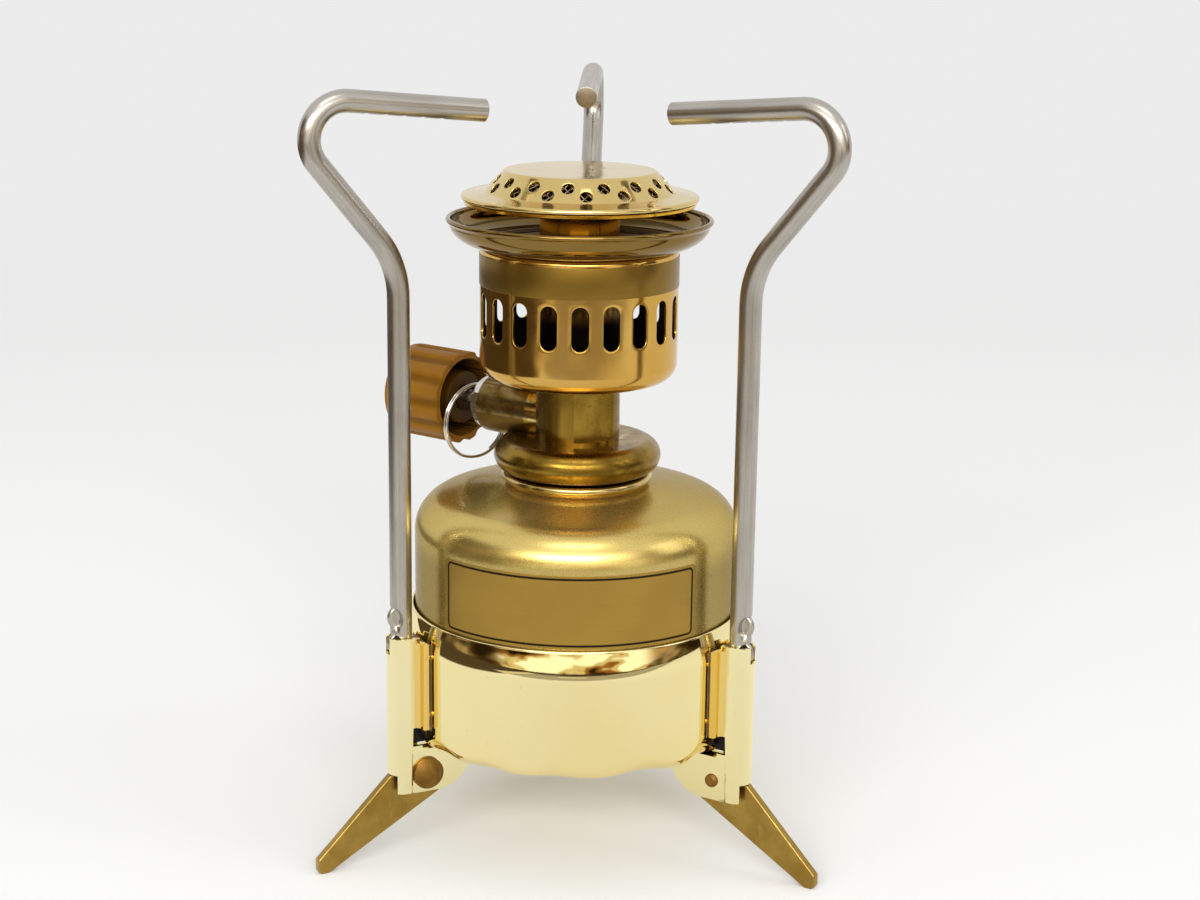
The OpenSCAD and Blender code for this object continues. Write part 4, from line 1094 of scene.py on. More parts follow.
@dataclass
class PotSupport:
    """A bent rod with two pressed ears near its foot and notches on its arm."""

    side: str = "rear"
    radius: float = 3.0
    place_r: float = 53.1
    low_z: float = 38.5
    bend: Flat = (53.1, 166.8)
    bend_r: float = 25.0
    apex: Flat = (89.6, 211.5)
    apex_r: float = 9.75
    arm_slope: float = 5.5
    tip_r: float = 28.2
    ears: Flat = (62.69, 70.29)
    ear_h: float = 6.2
    ear_w: float = 3.5
    ear_out: float = 1.0
    ear_t: float = 1.8
    grip_first: float = 12.4
    grip_pitch: float = 5.2
    grip_depth: float = 0.35
    foot_ease: float = 0.5
    tip_ease: float = 0.35
    around: int = 72
    step: float = 1.5
    ear_step: float = 0.16
    arm_step: float = 0.22
    bend_steps: int = 24
    lean_steps: int = 16
    apex_steps: int = 40
    notches: int = 5
    notch_half: float = 0.85

    def path(self) -> list[tuple[Flat, float]]:
        """Middle line of the rod.

        Returns:
            Points of radius and height, each with the direction there in degrees.
        """
        lean = math.degrees(math.atan2(self.apex[1] - self.bend[1], self.apex[0] - self.bend[0]))
        arm = 180.0 + self.arm_slope
        first = self.bend_r * math.tan(math.radians(90.0 - lean) / 2)
        second = self.apex_r * math.tan(math.radians(arm - lean) / 2)

        def along(a: Flat, way: float, run: float) -> Flat:
            """A point at a distance in a direction."""
            return (a[0] + run * math.cos(math.radians(way)), a[1] + run * math.sin(math.radians(way)))

        out: list[tuple[Flat, float]] = []
        z = self.low_z
        top = self.bend[1] - first
        while z < top - 0.1:
            out.append(((self.place_r, z), 90.0))
            near = min(abs(z - e) for e in self.ears) < self.ear_h / 2 + 0.6
            z += self.ear_step if near else self.step
        middle = (self.bend[0] + self.bend_r, top)
        for k, p in enumerate(arc(middle, self.bend_r, 180, 90 + lean, self.bend_steps)):
            out.append((p, 90.0 + (lean - 90.0) * k / self.bend_steps))
        start = along(self.bend, lean, first)
        end = along(self.apex, lean, -second)
        for k in range(1, self.lean_steps):
            t = k / self.lean_steps
            out.append(((start[0] + (end[0] - start[0]) * t, start[1] + (end[1] - start[1]) * t), lean))
        middle = along(end, lean + 90.0, self.apex_r)
        for k, p in enumerate(arc(middle, self.apex_r, lean - 90, arm - 90, self.apex_steps)):
            out.append((p, lean + (arm - lean) * k / self.apex_steps))
        start = along(self.apex, arm, second)
        reach = (self.apex[0] - self.tip_r) / math.cos(math.radians(self.arm_slope)) - second
        steps = int(reach / self.arm_step)
        for k in range(1, steps + 1):
            out.append((along(start, arm, reach * k / steps), arm))
        return out

    def section(self, height: float) -> list[Flat]:
        """Cross-section of the upright at a height: round, or pinched on its outer side at an ear.

        Args:
            height: Height in millimetres.

        Returns:
            Points as distance outward and sideways.
        """
        angles = [2 * math.pi * k / self.around for k in range(self.around)]
        ring = [(self.radius * math.cos(a), self.radius * math.sin(a)) for a in angles]
        lens = (self.ear_h**2 + self.ear_w**2) / 4 / self.ear_w
        for middle in self.ears:
            rise = abs(height - middle)
            if rise >= self.ear_h / 2:
                continue
            half = math.sqrt(lens**2 - rise**2) - (lens - self.ear_w / 2)
            centre = self.radius + self.ear_out - self.ear_w / 2
            inner, outer = centre - half, centre + half
            weight = smooth(min(1.0, half / 0.55))
            edge = math.acos(max(-1.0, min(1.0, inner / self.radius)))
            flat = self.ear_t / 2
            for k, a in enumerate(angles):
                signed = a if a <= math.pi else a - 2 * math.pi
                share = abs(signed) / edge
                if share >= 1.0:
                    continue
                sign = 1.0 if signed >= 0 else -1.0
                pressed = self._pressed(share, inner, outer, flat, math.sqrt(max(0.0, self.radius**2 - inner**2)))
                x, y = ring[k]
                ring[k] = (x + (pressed[0] - x) * weight, y + (pressed[1] * sign - y) * weight)
        return ring

    @staticmethod
    def _pressed(share: float, inner: float, outer: float, flat: float, full: float) -> Flat:
        """Outline of a pressed ear.

        Args:
            share: 0 at the ear's nose, 1 where the round rod begins.
            inner: Where the pressing begins.
            outer: Nose of the ear.
            flat: Half the thickness of the ear.
            full: Half the rod's thickness where the pressing begins.

        Returns:
            Distance outward and sideways.
        """
        nose = min(flat, outer - inner)
        if share < 0.28:
            a = math.pi / 2 * share / 0.28
            return (outer - nose + nose * math.cos(a), flat * math.sin(a) * 1.04)
        if share < 0.72:
            t = (share - 0.28) / 0.44
            dip = 0.12 * math.sin(math.pi * t)
            return (outer - nose + (inner + 0.35 - outer + nose) * t, flat * (1.04 - dip))
        t = (share - 0.72) / 0.28
        return (inner + 0.35 * (1 - t), flat * 1.04 + (full - flat * 1.04) * smooth(t))

    def grip(self, arm_run: float, sink: float) -> float:
        """How far a notch presses in the arm's upper side.

        Args:
            arm_run: Distance from the arm's tip.
            sink: Height of a point of the ring over the rod's middle, as a share of the radius.

        Returns:
            The depth in millimetres.
        """
        depth = 0.0
        for i in range(self.notches):
            away = abs(arm_run - self.grip_first - i * self.grip_pitch)
            if away < self.notch_half:
                depth = max(depth, self.grip_depth * (1 - (away / self.notch_half) ** 2))
        return max(0.0, sink * self.radius - (self.radius - depth))

    def build(self) -> None:
        """Sweeps the rod and sets it in its bracket."""
        shape = Shape()
        rings: list[list[int]] = []
        path = self.path()
        run = 0.0
        total = sum((Vector(b[0]) - Vector(a[0])).length for a, b in zip(path, path[1:]))
        radii = [self.radius - self.foot_ease, *[self.radius] * (len(path) - 2), self.radius - self.tip_ease]
        last = path[0][0]
        for ((r, z), way), radius in zip(path, radii):
            run += math.hypot(r - last[0], z - last[1])
            last = (r, z)
            upright = r <= self.place_r + 1e-6 and abs(way - 90.0) < 1e-6
            section = self.section(z) if upright else self.section(0.0)
            scale = radius / self.radius
            n = (math.sin(math.radians(way)), -math.cos(math.radians(way)))
            from_tip = total - run
            points, flat = [], []
            for k, (out, aside) in enumerate(section):
                if not upright and r < self.apex[0] - 6 and abs(way - 180.0 - self.arm_slope) < 1e-6:
                    out += self.grip(from_tip, -out / self.radius)
                points.append((r + n[0] * out * scale, aside * scale, z + n[1] * out * scale))
                around = k if k <= self.around / 2 else self.around - k
                across = around * 2 * math.pi * self.radius / self.around
                flat.append((run * MM, across * MM, float(radius < self.radius)))
            rings.append(shape.loop(points, flat))
        shape.skin(rings)
        shape.fan(rings[0], (self.place_r, 0.0, self.low_z), SAWN)
        tip = path[-1][0]
        shape.fan(rings[-1], (tip[0], 0.0, tip[1]), SAWN)
        shape.place(Matrix.Rotation(math.radians(SIDES[self.side]), 4, "Z"))
        made = shape.build(f"pot_support_{self.side}_rod", ROD_STEEL, sharp=44.0)
        fit(made, f"{self.side}_support", f"pot_support_{self.side}")


@dataclass
class Cartridge:
    """The gas can with its collar, base, label and outlet valve."""

    radius: float = 45.0
    wall: float = 0.5
    seat_z: float = 33.0
    side_z: float = 89.2
    shoulder: float = 10.5
    foot: float = 2.5
    foot_w: float = 4.5
    neck: float = 18.6
    collar_r: float = 20.8
    collar_z: float = 105.6
    well_depth: float = 7.0
    outlet_rise: float = 4.5
    outlet_r: float = 5.55
    outlet_bore: float = 3.75
    pin_hole: float = 1.9
    thread_rows: int = 9
    thread_depth: float = 0.35
    label_low: float = 68.5
    label_top: float = 88.5
    label_angle: float = 96.0
    label_corner: float = 1.4
    pin_travel: float = 1.0

    def build(self) -> None:
        """Turns the can and its collar, lays on the label and dresses the inner pieces."""
        self.shell()
        self.collar()
        self.label()
        dress("cartridge_base", CAN_LACQUER)
        dress("outlet_housing", HOUSING_NYLON)
        dress("outlet_stem", VALVE_BRASS)
        self.spring()
        dress("outlet_gasket", SEAL_RUBBER)

    def spring(self) -> None:
        """The outlet's spring, which shortens as the pin is pressed."""
        coil = eased_copy("outlet_spring", "outlet_coil", WIRE_STEEL, 0.02, 1)
        # The outlet's spring, eased, with a mesh of its own.
        fit(coil, "cartridge", "outlet_spring")
        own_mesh(coil)

    def shell(self) -> None:
        """The drawn can: straight side, round shoulder, flat dome and a short neck."""
        t = self.wall
        low = (self.radius - self.foot, self.seat_z + self.foot)
        top = (self.radius - self.shoulder, self.side_z)
        dome_z = self.collar_z - 3.0
        neck_z = self.collar_z - 1.4
        side = [(self.radius, low[1] + (top[1] - low[1]) * s) for s in (0.02, 0.34, 0.67, 0.985)]
        outside = arc(low, self.foot, -90, 0, 10) + side + arc(top, self.shoulder, 0, 80, 28)
        outside += [(30.0, dome_z - 1.4), *arc((self.neck + 1.3, dome_z + 1.1), 1.3, 262, 180, 6), (self.neck, neck_z)]
        inside = [(self.neck - t, neck_z), (self.neck - t, dome_z - t)]
        inside += arc(top, self.shoulder - t, 80, 0, 20) + arc(low, self.foot - t, 0, -90, 8)
        edge = self.radius - self.foot_w
        shape = Shape()
        shape.revolve([(edge, self.seat_z), *outside, *inside, (edge, self.seat_z + t)], stations(240))
        fit(shape.build("cartridge_can", CAN_LACQUER), "cartridge", "cartridge_shell")

    def collar(self) -> None:
        """The crimped collar, its well and the threaded outlet."""
        z = self.collar_z
        wall_out = self.neck - self.wall - 0.1
        wall_in = wall_out - 0.6
        floor_z, under_z = z - self.well_depth, z - self.well_depth - 0.6
        outlet_z, outlet_r, bore = z + self.outlet_rise, self.outlet_r, self.outlet_bore
        outside = [(self.neck + 0.1, z - 2.0), *arc((self.collar_r - 0.6, z - 1.4), 0.6, -90, 0, 5)]
        outside += arc((self.collar_r - 1.2, z - 1.2), 1.2, 0, 90, 8)
        well = rounded([(wall_in + 0.7, z), (wall_in, z), (wall_in, floor_z), (outlet_r, floor_z)], 0.6, 4, False)
        root = outlet_r - self.thread_depth
        thread = []
        for k in range(self.thread_rows):
            h = floor_z + 1.2 + (outlet_z - 0.5 - floor_z - 1.2) * k / self.thread_rows
            thread += [(outlet_r, h), (root, h + 0.45)]
        seat_z = outlet_z - 1.4
        top = [(outlet_r, outlet_z - 0.5), (root, outlet_z), (self.pin_hole, outlet_z)]
        top += [(self.pin_hole, seat_z), (bore, seat_z)]
        under = [(bore, under_z), (wall_out, under_z), (wall_out, z - 1.3), (self.neck + 0.1, z - 1.3)]
        shape = Shape()
        shape.revolve(outside + well + thread + top + under, stations(160))
        fit(shape.build("cartridge_collar_turned", COLLAR_BRASS), "cartridge", "cartridge_collar")

    def label(self) -> None:
        """The foil label with round corners, bent round the can."""
        back, face = (self.radius + rise for rise in FOIL)
        half_a = self.label_angle / 2
        middle = (self.label_low + self.label_top) / 2
        half_h = (self.label_top - self.label_low) / 2
        half_w = math.radians(half_a) * face
        corner = self.label_corner
        cuts = [half_w - corner + corner * math.sin(math.pi / 2 * k / 8) for k in range(9)]
        plain = 64
        across = [-c for c in reversed(cuts)] + [(-1 + 2 * k / plain) * cuts[0] for k in range(1, plain)] + cuts
        rows = 8
        shape = Shape()
        sheets = []
        for radius in (face, back):
            columns = []
            for u in across:
                inset = max(0.0, abs(u) - (half_w - corner))
                tall = half_h - corner + math.sqrt(max(0.0, corner**2 - inset**2))
                angle = -90.0 + math.degrees(u / face)
                heights = [middle - tall + 2 * tall * k / rows for k in range(rows + 1)]
                flat = [(u * MM, (h - middle) * MM, 0.0) for h in heights]
                columns.append(shape.loop([turn_point(radius, angle, h) for h in heights], flat))
            for a, b in zip(columns, columns[1:]):
                shape.bridge(a, b, closed=False)
            sheets.append(columns)
        rims = []
        for columns in sheets:
            lower = [c[0] for c in columns]
            upper = [c[-1] for c in reversed(columns)]
            rims.append(lower + columns[-1][1:-1] + upper + columns[0][-2:0:-1])
        shape.bridge(rims[0], rims[1])
        fit(shape.build("cartridge_label_foil", LABEL_FOIL, weld=1e-5), "cartridge", "cartridge_label")


@dataclass
class Window:
    """An opening in one cell of a perforated wall, round or with straight sides."""

    middle: Flat
    half_w: float
    half_h: float

    def edge(self, way: Flat, grow: float) -> Flat:
        """Where a line from the middle leaves the opening.

        Args:
            way: Direction from the middle.
            grow: Distance by which the opening is widened.

        Returns:
            The point, seen from the cell's own origin.
        """
        radius = self.half_w + grow
        straight = self.half_h - self.half_w
        length = math.hypot(*way)
        x, y = way[0] / length, way[1] / length
        if abs(x) > 1e-9 and abs(radius / abs(x) * y) <= straight:
            reach = radius / abs(x)
        else:
            lift = straight * (1.0 if y > 0 else -1.0)
            reach = y * lift + math.sqrt(max(0.0, (y * lift) ** 2 - lift**2 + radius**2))
        return (self.middle[0] + x * reach, self.middle[1] + y * reach)


class PiercedWall:
    """A turned sheet wall with one opening in each of its cells."""

    def __init__(self, shape: Shape, columns: int, across: int, up: int) -> None:
        """Sets the grid.

        Args:
            shape: Shape that the wall is added to.
            columns: Number of cells round the wall.
            across: Chords along a cell's top and bottom.
            up: Chords along a cell's sides.
        """
        self.shape = shape
        self.columns = columns
        self.across = across
        self.up = up

    def border(self, width: float, low: float, high: float) -> list[Flat]:
        """Points round a cell's edge, in order.

        Args:
            width: Width of the cell, 1 for a full cell.
            low: Lower edge.
            high: Upper edge.

        Returns:
            Points as place across from -0.5 to 0.5 and height.
        """
        half = width / 2
        out = [(-half + width * k / self.across, low) for k in range(self.across)]
        out += [(half, low + (high - low) * k / self.up) for k in range(self.up)]
        out += [(half - width * k / self.across, high) for k in range(self.across)]
        out += [(-half, high - (high - low) * k / self.up) for k in range(self.up)]
        return out

    def cell(self, start: float, window: Window, low: float, high: float, spread: float,
             to_point: Callable[[float, float, float], Point], wall: float, ease_r: float) -> None:
        """Adds one cell, both faces of the sheet and the opening's rounded edge.

        Args:
            start: Angle of the cell's middle in degrees.
            window: The opening; its own sizes are in millimetres.
            low: Lower edge of the cell along the wall.
            high: Upper edge of the cell along the wall.
            spread: Millimetres across the cell, where the opening is.
            to_point: Gives the place of an angle, a distance along the wall and a depth in the sheet.
            wall: Sheet thickness.
            ease_r: Rounding of the opening's edge.
        """
        turn = 360.0 / self.columns
        frame_points = self.border(1.0, low, high)
        ways = [(p[0] * spread - window.middle[0], p[1] - window.middle[1]) for p in frame_points]

        def ring(grow: float, depth: float, share: float = 0.0) -> list[int]:
            """A loop round the opening, moved by a share towards the cell's edge."""
            points = []
            for p, way in zip(frame_points, ways):
                e = window.edge(way, grow)
                x = e[0] + (p[0] * spread - e[0]) * share
                y = e[1] + (p[1] - e[1]) * share
                points.append(to_point(start + x / spread * turn, y, depth))
            # Depth in the sheet as run, so the finish paints shade on the inner face and the inner part of the
            # opening's edge
            return self.shape.loop(points, [(depth / wall, 0.0, 0.0)] * len(points))

        for depth in (0.0, wall):
            cell_edge = [to_point(start + p[0] * turn, p[1], depth) for p in frame_points]
            outer = self.shape.loop(cell_edge, [(depth / wall, 0.0, 0.0)] * len(cell_edge))
            self.shape.skin([outer, ring(ease_r, depth, 0.5), ring(ease_r, depth)])
        steps = 3
        loops = []
        for k in range(steps + 1):
            a = math.pi / 2 * k / steps
            loops.append(ring(ease_r * (1 - math.sin(a)), ease_r * (1 - math.cos(a))))
        for k in range(steps, -1, -1):
            a = math.pi / 2 * k / steps
            loops.append(ring(ease_r * (1 - math.sin(a)), wall - ease_r * (1 - math.cos(a))))
        self.shape.skin(loops)

    def angles(self, first: float) -> list[float]:
        """Angles of the cells' edge points round the wall, for the turned parts that join it."""
        turn = 360.0 / self.columns
        places = [c + k / self.across for c in range(self.columns) for k in range(self.across)]
        return [first - turn / 2 + turn * place for place in places]


@dataclass
class BurnerHead:
    """Air cup, mixing tube, flame dish, base, gauze and cap."""

    air_r: float = 27.1
    air_z: float = 132.0
    air_top: float = 168.3
    wall: float = 0.8
    air_corner: float = 5.0
    lip: float = 1.5
    lip_in: float = 4.0
    stud_r: float = 6.2
    slots: int = 20
    slot_w: float = 4.6
    slot_l: float = 11.9
    slot_low: float = 12.3
    slot_turn: float = 3.6
    slot_margin: float = 1.6
    slot_ease: float = 0.16
    band_low: float = 158.1
    band_top: float = 166.5
    dish_r: float = 36.3
    dish_h: float = 7.9
    bead: float = 0.7
    dish_steps: Point = (16.0, 19.0, 12.0)
    # Painted shade on the dish floor under the cap: its strength and how it fades towards rim and stem
    painted_shade: float = 0.45
    shade_w: float = 4.5
    shade_r: float = 6.0
    tube_r: float = 8.05
    cap_z: float = 180.8
    cap_r: float = 32.2
    cap_wall_r: float = 25.9
    cap_foot: float = 183.2
    cap_top_r: float = 20.5
    cap_top: float = 188.9
    brim_r: float = 0.8
    holes: int = 15
    hole_r: float = 1.68
    hole_rows: Flat = (0.28, 0.6)
    hole_turn: float = 0.6
    hole_ease: float = 0.14
    hole_margin: Flat = (0.42, 0.95)
    cap_flat: float = 12.0
    gauze_gap: float = 0.3
    gauze_wire: float = 0.13
    gauze_wires: int = 64
    gauze_wave: float = 0.12

    def build(self) -> None:
        """Builds the seen pieces and dresses the inner ones."""
        self.air_cup()
        self.band()
        self.dish()
        self.cap()
        self.gauze()
        fit(eased_copy("head_base", "head_base_turned", STEM_PLATE, 0.2), "burner", "head_base")
        fit(eased_copy("mixing_tube", "mixing_tube_turned", TUBE_BRASS, 0.15), "burner", "mixing_tube")
        fit(eased_copy("jet", "jet_turned", COLLAR_BRASS, 0.12), "burner", "jet")
        fit(eased_copy("air_cup_nut", "air_cup_nut_turned", VALVE_BRASS, 0.2), "burner", "air_cup_nut")
        dress("jet_filter", WIRE_STEEL)

    def air_cup(self) -> None:
        """The drawn air cup with its ring of slots."""
        shape = Shape()
        wall = PiercedWall(shape, self.slots, 10, 14)
        low = self.air_z + self.slot_low - self.slot_margin
        high = self.air_z + self.slot_low + self.slot_l + self.slot_margin
        spread = 2 * math.pi * self.air_r / self.slots
        middle = (0.0, self.air_z + self.slot_low + self.slot_l / 2)
        window = Window(middle, self.slot_w / 2, self.slot_l / 2)
        for i in range(self.slots):
            wall.cell(self.slot_turn + 360.0 * i / self.slots, window, low, high, spread,
                      lambda a, z, d: turn_point(self.air_r - d, a, z), self.wall, self.slot_ease)
        angles = wall.angles(self.slot_turn)
        corner = (self.air_r - self.air_corner, self.air_z + self.air_corner)
        lip = (self.air_r - self.lip, self.air_top - self.lip)
        edge = self.air_r - self.lip_in
        t = self.wall
        below = [(self.stud_r, self.air_z), *arc(corner, self.air_corner, -90, 0, 16), (self.air_r, low)]
        under = [(self.air_r - t, low), *arc(corner, self.air_corner - t, 0, -90, 14), (self.stud_r, self.air_z + t)]
        shape.revolve(below, angles, closed=False)
        shape.revolve(under, angles, closed=False, inside=1.0)
        shape.revolve([under[-1], below[0]], angles, closed=False)
        above = [(self.air_r, high), (self.air_r, self.band_low), *arc(lip, self.lip, 0, 90, 10), (edge, self.air_top)]
        shape.revolve(above, angles, closed=False)
        ceiling = [(edge, self.air_top), (edge, self.air_top - t)]
        ceiling += [*arc(lip, self.lip - t, 90, 0, 8), (self.air_r - t, high)]
        shape.revolve(ceiling, angles, closed=False, inside=1.0)
        fit(shape.build("air_cup_sheet", AIR_PLATE, weld=2e-3), "burner", "air_cup")

    def band(self) -> None:
        """The satin band round the air cup, with eased edges."""
        back, face = (self.air_r + rise for rise in FOIL)
        low, top = self.band_low, self.band_top
        outline = rounded([(back, low), (face, low), (face, top), (back, top)], 0.04, 2)
        shape = Shape()
        angles = stations(240)
        rings = []
        for radius, z in outline:
            flat = [(math.radians(a) * radius * MM, z * MM, 0.0) for a in angles]
            rings.append(shape.loop([turn_point(radius, a, z) for a in angles], flat))
        shape.skin(rings + rings[:1])
        fit(shape.build("air_cup_band_foil", BAND_FOIL, weld=1e-5), "burner", "air_cup_band")

    def dish(self) -> None:
        """The flame dish with its rolled rim and painted shade on its floor."""
        floor = self.air_r - self.lip
        z = self.air_top
        side_w = self.dish_r - self.bead - floor
        side_h = self.dish_h - self.bead
        t = self.wall
        up, down = arc((0.0, 0.0), 1.0, -90, -8, 26), arc((0.0, 0.0), 1.0, -8, -90, 26)
        outer = [(floor + side_w * x, z + side_h * (1 + y)) for x, y in up]
        inner = [(floor + (side_w - t) * x, z + t + (side_h - t) * (1 + y)) for x, y in down]
        bead = arc((self.dish_r - self.bead, z + side_h), self.bead, -60, 200, 18)
        shape = Shape()
        below, first, last = self.dish_steps
        under = [(self.tube_r, z), (below, z), *outer, *bead]
        turns = stations(240)
        shape.revolve([*under, *inner, (first, z + t), (last, z + t), (self.tube_r, z + t)], turns)
        # Painted shade on the upper floor, fading out at the rim and at the stem
        for i in range(len(under) * len(turns), len(shape.points)):
            radius = math.hypot(*shape.points[i][:2])
            near_rim = (self.dish_r - self.bead - radius) / self.shade_w
            near_stem = (radius - self.stud_r) / self.shade_r
            shape.run[i] = (0.0, 0.0, self.painted_shade * max(0.0, min(1.0, near_rim, near_stem - 1.0)))
        fit(shape.build("flame_dish_sheet", DISH_PLATE), "burner", "flame_dish")

    def cap_slope(self) -> tuple[Flat, float]:
        """The direction upward of the cap's conical wall, and its length."""
        run, rise = self.cap_top_r - self.cap_wall_r, self.cap_top - self.cap_foot
        length = math.hypot(run, rise)
        return (run / length, rise / length), length

    def cone(self, run: float, depth: float) -> Flat:
        """Radius and height on the cap's conical wall.

        Args:
            run: Distance up the slope from its foot.
            depth: Depth under the outer face.

        Returns:
            The radius and the height in millimetres.
        """
        (x, y), _ = self.cap_slope()
        return (self.cap_wall_r + x * run - y * depth, self.cap_foot + y * run + x * depth)

    def on_cone(self, angle: float, run: float, depth: float) -> Point:
        """Place on the conical wall at an angle."""
        radius, height = self.cone(run, depth)
        return turn_point(radius, angle, height)

    def cap(self) -> None:
        """The burner cap with its two rows of flame holes."""
        way, length = self.cap_slope()
        low, high = self.hole_margin[0], length - self.hole_margin[1]
        t = self.wall
        shape = Shape()
        columns = 2 * self.holes
        wall = PiercedWall(shape, columns, 8, 10)
        for i in range(columns):
            row = 1 if i % 2 == 0 else 0
            run = length * self.hole_rows[row]
            spread = 2 * math.pi * self.cone(run, 0.0)[0] / columns
            window = Window((0.0, run), self.hole_r, self.hole_r)
            wall.cell(self.hole_turn + 360.0 * i / columns, window, low, high, spread, self.on_cone, t, self.hole_ease)
        angles = wall.angles(self.hole_turn)
        top = (self.cap_top_r, self.cap_top)
        inner_top = self.cap_top - t
        crown = rounded([self.cone(high, 0.0), top, (self.cap_flat, self.cap_top)], 1.5, 8, False)
        crown.append((0.0, self.cap_top))
        shape.revolve(crown, angles, closed=False)
        corner = self.cone(length - t / way[1], t)[0] - 0.3
        under = [(0.0, inner_top), (self.cap_flat, inner_top), (corner, inner_top), self.cone(high, t)]
        shape.revolve(under, angles, closed=False, inside=1.0)
        brim = (self.cap_r - 2 * self.brim_r, self.cap_z + 2 * self.brim_r)
        bead = (self.cap_r - self.brim_r, self.cap_z + self.brim_r)
        foot = (self.cap_wall_r, self.cap_foot)
        skirt = rounded([self.cone(low, 0.0), foot, brim], 1.2, 6, False)
        skirt += arc(bead, self.brim_r, 90, -90, 16)
        shape.revolve(skirt, angles, closed=False)
        lining = [skirt[-1], (brim[0], brim[1] - t), (foot[0] - 0.3, foot[1] - t), self.cone(low, t)]
        shape.revolve(lining, angles, closed=False, inside=1.0)
        fit(shape.build("burner_cap_sheet", CAP_PLATE, weld=2e-3), "burner", "burner_cap")

    def gauze(self) -> None:
        """Woven wire behind the flame holes: two families of wires that cross on the cone."""
        length = self.cap_slope()[1]
        wire, wires = self.gauze_wire, self.gauze_wires
        depth = self.wall + self.gauze_gap
        shape = Shape()

        def tube(points: list[Vector]) -> None:
            """Adds one wire as a six-sided tube."""
            loops = []
            for i, p in enumerate(points):
                ahead = points[min(i + 1, len(points) - 1)]
                behind = points[max(i - 1, 0)]
                axis = (ahead - behind).normalized()
                side = axis.cross(Vector((0.0, 0.0, 1.0)))
                side = side.normalized() if side.length > 1e-6 else Vector((1.0, 0.0, 0.0))
                up = axis.cross(side)
                loops.append(shape.loop([tuple(p + side * wire * math.cos(a) + up * wire * math.sin(a))
                                         for a in (math.pi / 3 * k for k in range(6))]))
            shape.skin(loops, capped=True)

        mid_r = self.cone(length / 2, 0.0)[0]
        steps = 30
        for family in (1.0, -1.0):
            for i in range(wires):
                points = []
                for k in range(steps + 1):
                    run = 0.4 + (length - 1.7) * k / steps
                    drift = math.degrees(run / mid_r)
                    lift = self.gauze_wave * family * math.cos(math.pi * drift * wires / 180.0)
                    angle = 360.0 * i / wires + family * drift
                    points.append(Vector(self.on_cone(angle, run, depth - lift)))
                tube(points)
        fit(shape.build("gauze_woven", GAUZE_STEEL, weld=1e-6), "burner", "gauze")


